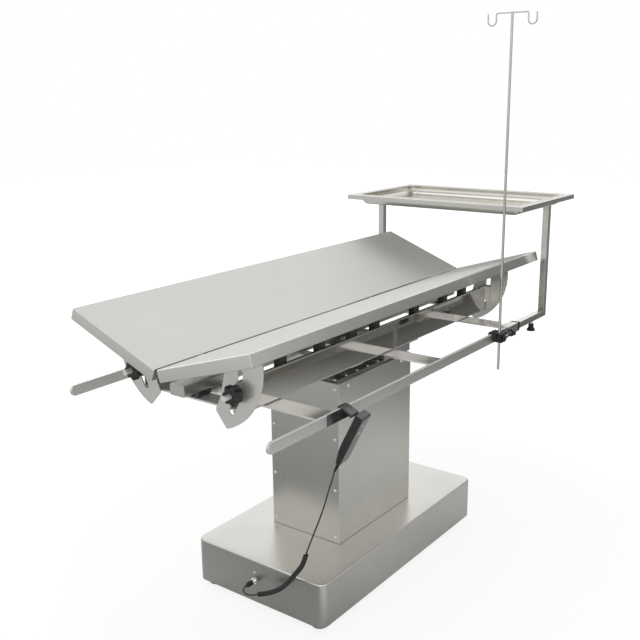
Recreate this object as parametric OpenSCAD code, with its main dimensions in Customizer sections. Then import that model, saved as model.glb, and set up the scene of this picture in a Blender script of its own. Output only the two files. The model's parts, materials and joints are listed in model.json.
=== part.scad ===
// Surgery table with a split V top on one lifting column.
// Units are millimetres. X runs along the table, Z is up, the floor is Z = 0.

/* [Placing] */
// How far the base centre stands behind the origin along X
shift_x = -91; // [-150:1:0]
// How far the base centre stands behind the origin along Y
shift_y = 44; // [0:1:60]

/* [Base] */
// Length of the base cover
base_len = 858; // [700:1:1000]
// Width of the base cover
base_wid = 471.5; // [400:0.5:560]
// Height of the cover's lower edge above the floor
base_low = 15.5; // [10:0.5:30]
// Height of the cover's top face
base_top = 150; // [120:1:200]
// Radius of the cover's upright corners
base_round = 25; // [10:1:50]
// Thickness of the cover sheet
base_sheet = 2; // [1:0.5:4]
// Distance of a foot's centre from the end of the cover
foot_in_x = 39; // [34:1:100]
// Distance of a foot's centre from the side of the cover
foot_in_y = 38.75; // [34:0.25:80]
// Diameter of a foot
foot_d = 48; // [30:1:70]
// Side of the square tubes of the inner frame
frame_tube = 36; // [25:1:50]
// Wall of the square tubes of the inner frame
frame_wall = 3; // [2:0.5:5]
// Height of the cord socket on the end face
socket_z = 80; // [50:1:110]
// Side position of the cord socket
socket_y = 14; // [-100:1:100]

/* [Column] */
// Length of the column cover
col_len = 391; // [300:1:450]
// Width of the column cover
col_wid = 252; // [200:1:300]
// Centre of the column along X
col_x = -18; // [-60:1:60]
// Centre of the column along Y
col_y = -12; // [-40:1:40]
// Height of the column cover's lower edge
col_low = 150.5; // [150.5:0.5:160]
// Height of the column cover's top
col_top = 649; // [600:1:700]
// Sheet of the column cover
col_sheet = 2; // [1:0.5:4]
// Gap between the cover and the inner column
col_gap = 9; // [6:0.5:14]
// Wall of the inner column
inner_wall = 4; // [2:0.5:6]
// Height of the inner column's top
inner_top = 612; // [560:1:630]
// Play between a glide strip and the cover
glide_play = 0.3; // [0.1:0.05:0.6]
// Diameter of the lifting rod
rod_d = 30; // [20:1:40]
// Radial play of the lifting rod in its tube
rod_play = 0.05; // [0.01:0.01:0.1]
// Thickness of the black plate on the column
cap_thick = 8; // [4:1:12]

/* [Frame] */
// Lower edge of the side plates
plate_low = 700; // [680:1:720]
// Upper edge of the side plates
plate_top = 786; // [770:1:795]
// Outer face of the side plates from the centre line
plate_y = 170; // [150:1:190]
// Thickness of the side plates
plate_wall = 3; // [2:0.5:5]
// Width of the fold along a side plate's lower edge
plate_fold = 28; // [15:1:40]
// Width of the narrow fold along a side plate's upper edge
plate_lip = 10; // [6:1:20]
// Left end of the side plates
plate_left = -653; // [-700:1:-600]
// Right end of the side plates
plate_right = 618; // [560:1:660]
// Width of the middle beam
beam_wid = 50; // [40:1:80]
// Height of the middle beam
beam_high = 30; // [20:1:50]
// Underside of the middle beam
beam_low = 728; // [720:1:740]
// Left end of the middle beam
beam_left = -700; // [-740:1:-660]
// Right end of the middle beam
beam_right = 665; // [640:1:700]
// Top of the end cross bars
bar_top = 712; // [705:1:720]
// Width of the end cross bars
bar_wid = 52; // [30:1:80]
// Width of the two channels on the column
chan_wid = 40; // [30:1:60]
// Width of a flat arm
arm_wid = 65; // [50:1:90]
// Thickness of a flat arm
arm_thick = 5; // [3:0.5:8]
// Height of the rubber rest pads
pad_high = 28.6; // [15:0.1:32]

/* [Panels] */
// Length of a panel
panel_len = 1500; // [1200:5:1700]
// Width of a panel
panel_wid = 311.5; // [260:0.5:330]
// Left end of the panels
panel_left = -767.5; // [-800:0.5:-740]
// Depth of the folded rim
rim_deep = 33; // [20:1:45]
// Thickness of the panel sheet
panel_sheet = 1.5; // [1:0.1:3]
// Height of the panel's top face over its pin
top_over_pin = 10.5; // [10:0.5:14]
// Distance of the panel's inner edge past its pin
edge_past_pin = 7.5; // [5:0.5:9]
// Height of the hinge pins
pin_z = 806.5; // [800:0.5:812]
// Distance of the hinge pins from the centre line
pin_y = 14; // [12:0.5:20]
// Diameter of a hinge pin
pin_d = 8; // [6:0.5:9]
// Radial play of a hinge pin in its ear
pin_play = 0.05; // [0.01:0.01:0.1]
// Thickness of an ear on the beam
ear_thick = 12; // [8:1:20]
// Thickness of a lug on the panel
lug_thick = 5; // [3:0.5:8]
// Raised angle of the near panel at rest
near_angle = 17.2; // [0:0.1:37]
// Raised angle of the far panel at rest
far_angle = 21.1; // [0:0.1:37]

/* [Angle plates] */
// Thickness of an angle plate
sector_thick = 4; // [2:0.5:6]
// Radius of the angle plate's outer edge
sector_edge = 180; // [150:1:200]
// Width of the arc slot
slot_wid = 16; // [14.5:0.5:20]
// Diameter of the clamping stud
stud_d = 14; // [10:0.5:16]
// Side position of the clamping stud
stud_y = 172; // [160:1:176]
// Height of the clamping stud
stud_z = 761; // [750:1:770]
// Steepest angle the slot lets a panel reach
steep_angle = 37.6; // [30:0.1:38]
// Outer diameter of a clamping knob
knob_d = 54; // [36:1:56]
// Radial play of a knob on its stud
knob_play = 0.06; // [0.01:0.01:0.1]

/* [Rails and stand] */
// Side position of the rails' middle
rail_y = 340; // [320:1:360]
// Thickness of a rail
rail_thick = 8; // [6:1:12]
// Height of a rail
rail_high = 30; // [20:1:40]
// Underside of the rails
rail_low = 675; // [660:1:690]
// Left end of the rails
rail_left = -762; // [-800:1:-700]
// Right end of the rails
rail_right = 431; // [400:1:470]
// Side of the socket tube
sock_side = 30; // [26:1:40]
// Length of the socket tube
sock_len = 77; // [60:1:120]
// Length of the black bush
bush_len = 16; // [8:1:30]
// Side position of the stand legs
leg_y = 333; // [325:1:345]
// Side of the stand leg tube
leg_side = 21; // [20:1:28]
// Wall of the stand leg tube
leg_wall = 2; // [1:0.5:3]
// Play of the stand leg in its socket
leg_play = 0.3; // [0.1:0.05:0.6]
// Outer face of the stand's elbow
leg_out = 745.5; // [700:0.5:800]
// Top of the stand legs
leg_top = 1068; // [1000:1:1150]
// Place of the small foot under the leg
leg_foot_x = 649; // [600:1:680]

/* [Tray] */
// Left side of the tray frame
tf_left = 515.5; // [500:0.5:560]
// Right side of the tray frame
tf_right = 950.5; // [900:0.5:1000]
// Half the width of the tray frame
tf_half = 343; // [320:1:360]
// Width of the tray frame's flat tube
tf_wid = 30; // [20:1:40]
// Height of the tray frame's flat tube
tf_high = 15; // [10:1:25]
// Depth of the instrument tray
tray_deep = 35; // [20:1:60]
// Sheet of the instrument tray
tray_sheet = 1.2; // [0.8:0.1:2]
// Radius of the tray's rounded edges
tray_round = 25; // [10:1:30]
// Play between the tray and its frame
tray_play = 1.5; // [0.5:0.1:4]

/* [Drip pole] */
// Diameter of the pole
pole_d = 8; // [6:0.5:12]
// Place of the pole along X
pole_x = 341; // [330:1:400]
// Side position of the pole
pole_y = -362; // [-368:1:-358]
// Lower end of the pole
pole_low = 590; // [560:1:620]
// Height of the hook bar
pole_top = 1664; // [1500:1:1750]
// Diameter of the hook wire
wire_d = 4.4; // [3:0.1:6]
// Half the length of the straight hook bar
hook_half = 50; // [30:1:70]
// Inner radius line of the hook bends
hook_r = 13; // [8:0.5:20]
// Radial play of the pole in its clamp
pole_play = 0.05; // [0.01:0.01:0.1]

/* [Handset] */
// Length of the handset
hand_len = 152; // [120:1:180]
// Width of the handset
hand_wid = 50; // [40:1:60]
// Thickness of the handset
hand_thick = 22; // [16:1:30]
// Lean of the handset
hand_lean = 26; // [0:1:40]
// Turn of the handset
hand_turn = 8; // [-20:1:20]
// Diameter of a handset button
button_d = 8; // [5:0.5:12]
// Radial play of a handset button
button_play = 0.08; // [0.02:0.01:0.1]

/* [Cord] */
// Diameter of the cord
cord_d = 4.2; // [3:0.1:6]
// Outer diameter of the curls
curl_d = 14.4; // [10:0.1:20]
// Number of curls
curls = 51; // [20:1:100]

/* [Hidden] */
$fn = 48;
sliver = 0.01;
foot_x = base_len / 2 - foot_in_x;
foot_y = base_wid / 2 - foot_in_y;
inner_len = col_len - 2 * (col_sheet + col_gap);
inner_wid = col_wid - 2 * (col_sheet + col_gap);
glide_thick = col_gap - glide_play;
rail_in = rail_y - rail_thick / 2;
rail_out = rail_y + rail_thick / 2;
rail_top = rail_low + rail_high;
cap_low = col_top;
cap_top = col_top + cap_thick;
beam_top = beam_low + beam_high;
stations = [-600, -200, 165, 565];
chan_left = -170;
box_left = 30;
box_right = 175;
chan_x = [chan_left + chan_wid / 2, (box_left + box_right) / 2];
arm_x = [-537, -5, 470];
rib_x = [-720, -430, 0, 405, 680];
pad_x = [-479, -314, -165, -47, 175, 355, 485];
pad_out = plate_y - plate_lip - 0.4;
bar_left = plate_left;
bar_right = plate_right - bar_wid;
stud_dy = stud_y - pin_y;
stud_dz = pin_z - stud_z;
slot_r = sqrt(stud_dy * stud_dy + stud_dz * stud_dz);
slot_hi = atan2(stud_dy, stud_dz) + 0.4;
slot_lo = atan2(stud_dy, stud_dz) - steep_angle - 0.4;
tab_thick = 5;
sector_gap = 2;
left_sector = plate_left - tab_thick - sector_gap - sector_thick;
right_sector = plate_right + tab_thick + sector_gap;
sock_left = rail_right;
sock_right = sock_left + sock_len;
leg_z = rail_low + sock_side / 2;
leg_bottom = leg_z - leg_side / 2;
leg_mid_x = leg_out - leg_side / 2;
leg_in = 440;
tf_top = leg_top + tf_high;
hand_top = [-450, -385, 687];
hand_back = hand_top[1] + hand_thick / 2 * cos(hand_lean);
hand_edge = hand_top[2] + hand_thick / 2 * sin(hand_lean);
box_len = 170;
box_wid = 110;
box_high = 58;
coil_path = [
    [-477, -222, 272], [-477, -206, 229], [-476, -179, 191], [-475, -150, 154],
    [-474, -117, 122], [-473, -78, 97], [-475, -36, 78]
];
hand_route = [
    [-461, -303, 519], [-466, -300, 498], [-474, -294, 468], [-479, -287, 436], [-479, -275, 402],
    [-478, -262, 370], [-478, -248, 336], [-478, -234, 301], [-477, -222.2, 272.7]
];
tail_route = [
    [-475, -36, 78], [-479, -24, 74], [-482, -11, 72], [-482, 0, 73],
    [-478, 9, 76], [-470, 13.4, 79.6], [-462.3, 14, 80]
];
lug_off = ear_thick / 2 + 0.5;

// Small helpers

module placed() {
    translate([shift_x, shift_y, 0])
        children();
}

module sized(x0, x1, y0, y1, z0, z1) {
    translate([x0, y0, z0])
        cube([x1 - x0, y1 - y0, z1 - z0]);
}

module rounded_flat(w, d, r) {
    square([w - 2 * r, d], center = true);
    square([w, d - 2 * r], center = true);
    for (i = [-1, 1])
        for (j = [-1, 1])
            translate([i * (w / 2 - r), j * (d / 2 - r)])
                circle(r);
}

module rounded_block(w, d, h, r) {
    linear_extrude(h)
        rounded_flat(w, d, r);
}

module box_tube(w, d, h, wall, r) {
    linear_extrude(h)
        difference() {
            rounded_flat(w, d, r);
            rounded_flat(w - 2 * wall, d - 2 * wall, max(r - wall, 0.5));
        }
}

// A flat outline drawn in Y and Z, carried along X from x0 to x1
module across(x0, x1) {
    translate([x0, 0, 0])
        rotate([90, 0, 90])
            linear_extrude(x1 - x0)
                children();
}

// Both sides of the table: the near side is the mirror of the far one
module both_sides() {
    children();
    mirror([0, 1, 0])
        children();
}

function unit(v) = v / norm(v);
function spline(a, b, c, d, t) = 0.5 * ((2 * b) + (c - a) * t + (2 * a - 5 * b + 4 * c - d) * t * t
    + (3 * b - a - 3 * c + d) * t * t * t);
function on_path(p, u) =
    let (n = len(p) - 1, i = min(floor(u * n), n - 1), t = u * n - i)
    spline(p[max(i - 1, 0)], p[i], p[i + 1], p[min(i + 2, n)], t);
function path_dir(p, u) = unit(on_path(p, min(u + 0.002, 1)) - on_path(p, max(u - 0.002, 0)));
// Side vector of a tube in a nearly upright plane: square to the run, as near to X as it can be
function side_of(t) = unit([1, 0.3, 0] - t * (t * [1, 0.3, 0]));

function tube_rings(p, n, sides, r) = [
    for (i = [0 : n])
        let (u = i / n, c = on_path(p, u), t = path_dir(p, u), a = side_of(t), b = cross(t, a))
        for (k = [0 : sides - 1])
            c + r * (cos(360 * k / sides) * a + sin(360 * k / sides) * b)
];

function ring_faces(rings, sides) = concat(
    [for (k = [1 : sides - 2]) [0, k, k + 1]],
    [for (i = [0 : rings - 2])
        for (k = [0 : sides - 1])
            let (a = i * sides + k, b = i * sides + (k + 1) % sides)
            each [[b, a, a + sides], [b, a + sides, b + sides]]],
    [for (k = [1 : sides - 2])
        let (c = (rings - 1) * sides)
        [c, c + k + 1, c + k]]
);

module cord_run(p, n) {
    polyhedron(points = tube_rings(p, n, 8, cord_d / 2), faces = ring_faces(n + 1, 8), convexity = 6);
}

// Base

module base_cover() {
    color("silver")
        placed()
            difference() {
                translate([0, 0, base_low])
                    rounded_block(base_len, base_wid, base_top - base_low, base_round);
                translate([0, 0, base_low - 1])
                    rounded_block(base_len - 2 * base_sheet, base_wid - 2 * base_sheet,
                        base_top - base_low + 1 - base_sheet, base_round - base_sheet);
                // Opening for the lifting gear
                translate([col_x, col_y, base_top - 5])
                    rounded_block(240, 120, 10, 10);
                // Cord socket hole
                translate([-base_len / 2 - 5, socket_y, socket_z])
                    rotate([0, 90, 0])
                        cylinder(d = 14, h = 10);
            }
}

module frame_bar_x(y, z) {
    translate([-base_len / 2 + 12, y, z])
        rotate([90, 0, 90])
            box_tube(frame_tube, frame_tube, base_len - 24, frame_wall, 4);
}

module frame_bar_y(x, z, d) {
    translate([x, d / 2, z])
        rotate([90, 0, 0])
            box_tube(frame_tube, frame_tube, d, frame_wall, 4);
}

module base_chassis() {
    low = base_low + frame_tube / 2;
    color("dimgray")
        placed()
            difference() {
                union() {
                    frame_bar_x(foot_y, low);
                    frame_bar_x(-foot_y, low);
                    for (x = [-foot_x + 90, col_x - inner_len / 2 + 20, col_x + inner_len / 2 - 20,
                            foot_x - 90])
                        frame_bar_y(x, low, 2 * foot_y - frame_tube);
                    // Posts and plate that carry the column
                    for (x = [-1, 1])
                        for (y = [-1, 1])
                            translate([col_x + x * (inner_len / 2 - 20), y * 80,
                                    base_low + frame_tube])
                                box_tube(30, 30, base_top - 8 - base_low - frame_tube - base_sheet, 3, 3);
                    translate([col_x, 0, base_top - base_sheet - 8])
                        difference() {
                            rounded_block(inner_len, 250, 8, 10);
                            translate([0, 0, -1])
                                rounded_block(120, 90, 10, 10);
                        }
                }
                for (x = [-1, 1])
                    for (y = [-1, 1])
                        translate([x * foot_x, y * foot_y, base_low - 1])
                            cylinder(d = 11, h = 20);
            }
}

module base_feet() {
    color("black")
        placed()
            for (x = [-1, 1])
                for (y = [-1, 1])
                    translate([x * foot_x, y * foot_y, 0]) {
                        cylinder(d = foot_d, h = 9);
                        translate([0, 0, 9])
                            cylinder(d1 = foot_d, d2 = foot_d - 12, h = base_low - 9);
                        cylinder(d = 10, h = base_low + 14);
                    }
}

module control_box() {
    color("darkslategray")
        placed()
            translate([-foot_x + 120, 0, base_low + frame_tube])
                difference() {
                    rounded_block(box_len, box_wid, box_high, 6);
                    translate([0, 0, 3])
                        rounded_block(box_len - 6, box_wid - 6, box_high - 6, 4);
                    // Cooling slots
                    for (i = [0 : 5])
                        translate([(i - 2.5) * box_len / 8.5, 0, box_high - 8])
                            cube([box_len / 21, box_wid - 30, 30], center = true);
                }
}

module inner_column() {
    color("gainsboro")
        placed()
            translate([col_x, col_y, base_top]) {
                difference() {
                    box_tube(inner_len, inner_wid, inner_top - base_top, inner_wall, 8);
                    // Service window on the end face
                    translate([-inner_len / 2, 0, 60])
                        cube([20, 90, 80], center = true);
                }
                // Foot flange inside the tube
                difference() {
                    translate([0, 0, 0])
                        rounded_block(inner_len - 1, inner_wid - 1, 6, 7);
                    translate([0, 0, -1])
                        rounded_block(180, 110, 8, 10);
                    for (x = [-1, 1])
                        for (y = [-1, 1])
                            translate([x * 140, y * 80, -1])
                                cylinder(d = 11, h = 8);
                }
            }
}

module glide_strips() {
    color("white")
        placed()
            translate([col_x, col_y, 0])
                for (s = [-1, 1]) {
                    for (x = [-1, 1])
                        translate([x * (inner_len / 2 - 45), s * (inner_wid + glide_thick) / 2,
                                inner_top - 70])
                            cube([34, glide_thick, 130], center = true);
                    for (y = [-1, 1])
                        translate([s * (inner_len + glide_thick) / 2, y * (inner_wid / 2 - 45),
                                inner_top - 70])
                            cube([glide_thick, 34, 130], center = true);
                }
}

module actuator_tube() {
    color("gray")
        placed()
            translate([col_x, col_y, base_top + 6]) {
                difference() {
                    union() {
                        cylinder(d = rod_d + 18, h = inner_top - base_top - 32);
                        translate([0, 0, 0])
                            rounded_block(200, 130, 10, 8);
                        // Motor beside the lifting tube
                        translate([62, 0, 10])
                            cylinder(d = 54, h = 150);
                        translate([30, 0, 22])
                            cube([70, 40, 24], center = true);
                    }
                    translate([0, 0, 14])
                        cylinder(d = rod_d + 2 * rod_play, h = inner_top - base_top - 32);
                }
            }
}

module connector_socket() {
    color("silver")
        placed()
            translate([-base_len / 2, socket_y, socket_z])
                rotate([0, -90, 0]) {
                    difference() {
                        union() {
                            translate([0, 0, -18])
                                cylinder(d = 13.6, h = 20);
                            cylinder(d = 21, h = 3);
                            translate([0, 0, 3])
                                cylinder(d = 17, h = 5);
                        }
                        translate([0, 0, -12])
                            cylinder(d = 10.6, h = 30);
                    }
                    // Small fixing screw above the socket
                    translate([30, -5, 0])
                        cylinder(d = 7, h = 2.2);
                }
}

module cord_plug() {
    color("black")
        placed()
            translate([-base_len / 2, socket_y, socket_z])
                rotate([0, -90, 0]) {
                    translate([0, 0, -8])
                        cylinder(d = 10, h = 17);
                    translate([0, 0, 8.2])
                        cylinder(d = 15, h = 17);
                    translate([0, 0, 25.2])
                        cylinder(d1 = 11, d2 = 6, h = 8);
                }
}

module cord_tail() {
    color("black")
        placed()
            cord_run(tail_route, 16);
}

// The curly part is one unbroken tube with straight ends
rings_per_curl = 8;
end_rings = 8;
curl_end = 12;
curl_rings = curls * rings_per_curl;
last_ring = curl_rings + 2 * end_rings;
curl_mean = (curl_d - cord_d) / 2;
function run_to(p, i) = i == 0 ? 0 : run_to(p, i - 1) + norm(p[i] - p[i - 1]);
coil_len = run_to(coil_path, len(coil_path) - 1);
curl_pitch = (coil_len - 2 * curl_end) / curls;
echo(curl_pitch = curl_pitch);
// How far ring i stands from the nearer end, in rings, while it is in an end bend
function end_part(i) = min(1, min(i, last_ring - i) / end_rings);
function curl_turn(i) =
    let (c = min(max(i - end_rings, 0), curl_rings), e = 1 - end_part(i))
    360 * c / rings_per_curl + (i < end_rings ? -1 : 1) * 80 * e * e;
function curl_run(i) =
    let (c = min(max(i - end_rings, 0), curl_rings), e = end_part(i) * curl_end,
        late = i > last_ring - end_rings ? curl_end - e : 0)
    min(e, curl_end) + c * curl_pitch / rings_per_curl + late
        + (i > last_ring - end_rings ? curl_end - e : 0);
function curl_centre(i) =
    let (u = curl_run(i) / coil_len, c = on_path(coil_path, u), t = path_dir(coil_path, u),
        a = side_of(t), b = cross(t, a), f = curl_turn(i), e = end_part(i),
        m = curl_mean * e * e * (3 - 2 * e))
    c + m * (cos(f) * a + sin(f) * b);
curl_line = [for (i = [0 : last_ring]) curl_centre(i)];
function line_dir(q, i) = unit(q[min(i + 1, len(q) - 1)] - q[max(i - 1, 0)]);
function curl_side(q, i) =
    let (t = line_dir(q, i), r = path_dir(coil_path, curl_run(i) / coil_len), s = side_of(r),
        b = cross(r, s), f = curl_turn(i), e = cos(f) * s + sin(f) * b)
    unit(e - t * (t * e));
curl_points = [
    for (i = [0 : len(curl_line) - 1])
        let (t = line_dir(curl_line, i), a = curl_side(curl_line, i), b = cross(t, a))
        for (k = [0 : 5])
            curl_line[i] + cord_d / 2 * (cos(60 * k) * a + sin(60 * k) * b)
];
curl_gap = min([for (i = [0 : last_ring - 12])
    min([for (j = [5 : 11]) norm(curl_line[i + j] - curl_line[i])])]) - cord_d;
echo(least_gap_between_curls = curl_gap);

module handset_coil() {
    color("black")
        placed()
            polyhedron(points = curl_points, faces = ring_faces(len(curl_line), 6), convexity = 10);
}

// Lifting head: column

module cover_corner_screws() {
    // Screws of the end panel
    for (y = [col_y - col_wid / 2 + 9, col_y + col_wid / 2 - 5])
        for (z = [170, 320, 479, 630])
            translate([col_x - col_len / 2, y > col_y ? y - 4 : y, z])
                rotate([0, -90, 0])
                    cylinder(d = 7, h = 2);
    // Screws near the top of the long faces
    for (x = [-165, 122])
        for (s = [-1, 1])
            translate([x, col_y + s * col_wid / 2, 634])
                rotate([-90 * s, 0, 0])
                    cylinder(d = 7, h = 2);
}

module column_cover() {
    color("silver")
        placed()
            translate([col_x, col_y, 0])
                difference() {
                    sized(-col_len / 2 + col_sheet, col_len / 2, -col_wid / 2, col_wid / 2, col_low,
                        col_top);
                    sized(-col_len / 2 + 2 * col_sheet, col_len / 2 - col_sheet,
                        -col_wid / 2 + col_sheet, col_wid / 2 - col_sheet, col_low - 1, col_top + 1);
                    // The end face is open between its two folded edges
                    sized(-col_len / 2, -col_len / 2 + 3 * col_sheet, -col_wid / 2 + 20,
                        col_wid / 2 - 20, col_low - 1, col_top + 1);
                }
}

module column_end_panel() {
    color("lightgray")
        placed()
            translate([col_x, col_y, 0])
                sized(-col_len / 2, -col_len / 2 + col_sheet, -col_wid / 2, col_wid / 2, col_low,
                    col_top);
}

module cover_screws() {
    color("white")
        placed() {
            cover_corner_screws();
            // Row on the black plate
            for (s = [-1, 1])
                for (i = [0 : 6])
                    translate([col_x - 165 + i * 55, col_y + s * (col_wid / 2 - 18), cap_top])
                        cylinder(d = 8, h = 2.5);
        }
}

module column_top_plate() {
    color("black")
        placed()
            translate([col_x, col_y, cap_low])
                difference() {
                    rounded_block(col_len - 4, col_wid - 4, cap_thick, 3);
                    translate([0, 0, -1])
                        rounded_block(90, 90, cap_thick - 3, 6);
                }
}

module actuator_rod() {
    color("white")
        placed()
            translate([col_x, col_y, 200]) {
                cylinder(d = rod_d, h = 430);
                translate([0, 0, 430])
                    cylinder(d = 60, h = cap_top - 4 - 630);
            }
}

// Lifting head: frame

// Left support: two cut plates between a top flange and a foot
module left_support() {
    for (x = [chan_left, chan_left + chan_wid - 4])
        across(x, x + 4)
            polygon([
                [-158, plate_low - 1], [158, plate_low - 1], [158, plate_low - 8],
                [88, cap_top + 9], [88, cap_top], [-88, cap_top], [-88, cap_top + 9],
                [-158, plate_low - 8]
            ]);
    sized(chan_left, chan_left + chan_wid, -plate_y + 4, plate_y - 4, plate_low - 4, plate_low);
    sized(chan_left, chan_left + chan_wid, -88, 88, cap_top, cap_top + 4);
}

// Right support: a folded box on the black plate with a wide top flange
module right_support() {
    near = col_y - col_wid / 2 + 2;
    far = col_y + col_wid / 2 - 2;
    difference() {
        sized(box_left, box_right, near, far, cap_top, plate_low);
        sized(box_left + 3, box_right - 3, near + 3, far - 3, cap_top - 1, plate_low - 4);
    }
    sized(box_left, box_right, -plate_y + 4, plate_y - 4, plate_low - 4, plate_low);
}

module head_channels() {
    color("silver")
        placed() {
            left_support();
            difference() {
                right_support();
                // Wiring hole in the flange
                translate([(box_left + box_right) / 2, -10, plate_low - 6])
                    cylinder(d = 40, h = 10);
            }
        }
}

module side_plate() {
    in = plate_y - plate_fold;
    difference() {
        union() {
            sized(plate_left, plate_right, plate_y - plate_wall, plate_y, plate_low, plate_top);
            sized(plate_left, plate_right, plate_y - plate_lip, plate_y, plate_top - plate_wall,
                plate_top);
            sized(plate_left, plate_right, in, plate_y, plate_low, plate_low + plate_wall);
            // A folded lip stiffens the lower edge
            sized(plate_left, plate_right, in, in + plate_wall, plate_low, plate_low + 6);
        }
        // Slots in the lower fold for the fixing screws
        for (x = chan_x)
            for (i = [-1, 1])
                translate([x + i * 12, in + 14, plate_low - 1])
                    cylinder(d = 9, h = 5);
    }
}

module far_side_plate() {
    color("silver")
        placed()
            side_plate();
}

module near_side_plate() {
    color("silver")
        placed()
            mirror([0, 1, 0])
                side_plate();
}

module centre_beam() {
    color("silver")
        placed()
            translate([beam_left, 0, beam_low + beam_high / 2])
                rotate([90, 0, 90]) {
                    box_tube(beam_wid, beam_high, beam_right - beam_left, 3, 4);
                    // Welded end plates, a little inside the ends
                    for (x = [1, beam_right - beam_left - 4])
                        translate([0, 0, x])
                            rounded_block(beam_wid - 5, beam_high - 5, 3, 2);
                }
}

module beam_saddles() {
    color("dimgray")
        placed()
            for (x = [bar_left + 2, bar_right + 2])
                translate([x, 0, beam_low])
                    rotate([0, 90, 0])
                        difference() {
                            union() {
                                intersection() {
                                    cylinder(d = beam_wid - 2, h = bar_wid - 4);
                                    translate([0, -beam_wid / 2, 0])
                                        cube([beam_low - bar_top, beam_wid, bar_wid]);
                                }
                            }
                            translate([0, 0, -1])
                                cylinder(d = beam_wid - 24, h = bar_wid);
                        }
}

module end_crossbars() {
    color("silver")
        placed()
            for (x = [bar_left, bar_right])
                sized(x, x + bar_wid, -plate_y + plate_wall, plate_y - plate_wall,
                    bar_top - 5, bar_top);
}

module stud_pair() {
    for (y = [-1, 1])
        translate([0, y * stud_y, stud_z])
            rotate([0, 90, 0])
                cylinder(d = stud_d, h = 60);
}

module clamp_studs() {
    color("silver")
        placed() {
            both_sides() {
                for (x = [plate_left - tab_thick, plate_right])
                    sized(x, x + tab_thick, plate_y - 26, plate_y + 16, stud_z - 24, stud_z + 24);
            }
            translate([plate_right + tab_thick - 1, 0, 0])
                stud_pair();
            translate([plate_left - tab_thick - 59, 0, 0])
                stud_pair();
        }
}

module rest_pads() {
    color("black")
        placed()
            both_sides()
                for (x = pad_x)
                    difference() {
                        union() {
                            sized(x - 15, x + 15, pad_out - 22, pad_out, plate_top - 24,
                                plate_top + pad_high);
                            // Foot under the fold, fixed to the plate's inner face
                            sized(x - 15, x + 15, pad_out - 22, plate_y - plate_wall,
                                plate_top - 24, plate_top - plate_wall - 0.3);
                        }
                        translate([x, pad_out - 11, plate_top + pad_high - 6])
                            cylinder(d = 9, h = 8);
                    }
}

module ear_outline() {
    difference() {
        union() {
            polygon([
                [-beam_wid / 2, beam_top], [beam_wid / 2, beam_top], [beam_wid / 2, beam_top + 8],
                [pin_y + 7, pin_z], [-pin_y - 7, pin_z], [-beam_wid / 2, beam_top + 8]
            ]);
            for (s = [-1, 1])
                translate([s * pin_y, pin_z])
                    circle(8);
        }
        for (s = [-1, 1])
            translate([s * pin_y, pin_z])
                circle(pin_d / 2 + pin_play);
        translate([0, beam_top + 22])
            circle(7);
    }
}

module hinge_brackets() {
    color("gray")
        placed()
            for (x = stations)
                across(x - ear_thick / 2, x + ear_thick / 2)
                    ear_outline();
}

// Lifting head: arms, rails and sockets

module arm_bar(x, reach) {
    difference() {
        union() {
            sized(x - arm_wid / 2, x + arm_wid / 2, -reach, reach, plate_low - arm_thick, plate_low);
            for (s = [-1, 1])
                sized(x - arm_wid / 2, x + arm_wid / 2, s > 0 ? reach - arm_thick : -reach,
                    s > 0 ? reach : -reach + arm_thick, rail_low + 4, plate_low);
        }
        for (s = [-1, 1])
            for (i = [-1, 1])
                translate([x + i * 18, s * reach, rail_low + 12])
                    rotate([90, 0, 0])
                        cylinder(d = 6.5, h = 30, center = true);
    }
}

module arm_left() {
    color("silver")
        placed()
            arm_bar(arm_x[0], rail_in);
}

module arm_middle() {
    color("silver")
        placed()
            arm_bar(arm_x[1], rail_in);
}

module arm_right() {
    color("silver")
        placed()
            arm_bar(arm_x[2], leg_y - sock_side / 2);
}

module rail() {
    r = rail_high / 2;
    translate([0, rail_out, 0])
        rotate([90, 0, 0])
            linear_extrude(rail_thick)
                union() {
                    translate([rail_left + r, rail_low])
                        square([rail_right - rail_left - r, rail_high]);
                    translate([rail_left + r, rail_low + r])
                        circle(r);
                }
}

module far_rail() {
    color("silver")
        placed()
            rail();
}

module near_rail() {
    color("silver")
        placed()
            mirror([0, 1, 0])
                rail();
}

module stand_sockets() {
    hole = leg_side + 2 * leg_play;
    color("silver")
        placed()
            both_sides()
                difference() {
                    sized(sock_left, sock_right, leg_y - sock_side / 2, leg_y + sock_side / 2,
                        rail_low, rail_low + sock_side);
                    sized(sock_left + 3, sock_right + 1, leg_y - hole / 2, leg_y + hole / 2,
                        leg_z - hole / 2, leg_z + hole / 2);
                }
}

module stand_bushes() {
    hole = leg_side + 2 * leg_play;
    color("black")
        placed()
            both_sides()
                difference() {
                    sized(sock_right, sock_right + bush_len, leg_y - sock_side / 2 + 0.6,
                        leg_y + sock_side / 2 - 0.6, rail_low + 0.6, rail_low + sock_side - 0.6);
                    sized(sock_right - 1, sock_right + bush_len + 1, leg_y - hole / 2,
                        leg_y + hole / 2, leg_z - hole / 2, leg_z + hole / 2);
                }
}

// Handset on the near rail

module handset_place() {
    placed()
        translate(hand_top)
            rotate([0, 0, hand_turn])
                rotate([hand_lean, 0, 0])
                    children();
}

module handset_hanger() {
    color("black")
        placed() {
            // Plate on the rail's face
            sized(-545, -486, -rail_out - 2, -rail_out, rail_low + 1, rail_top);
            // Strip over the rail's top whose arm slopes out to the handset's back
            across(-487, -455)
                polygon([
                    [-rail_out - 2, rail_low + 1], [-rail_out, rail_low + 1], [-rail_out, rail_top],
                    [-rail_in, rail_top], [-rail_in, rail_top - 14], [-rail_in + 3, rail_top - 14],
                    [-rail_in + 3, rail_top + 3.5], [-rail_out + 1, rail_top + 3.5],
                    [hand_back + 2, hand_edge + 3], [hand_back + 0.5, hand_edge],
                    [hand_back + 4.5, hand_edge - 7], [hand_back + 7, hand_edge - 4],
                    [-rail_out - 2, rail_top - 2]
                ]);
        }
}

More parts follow.
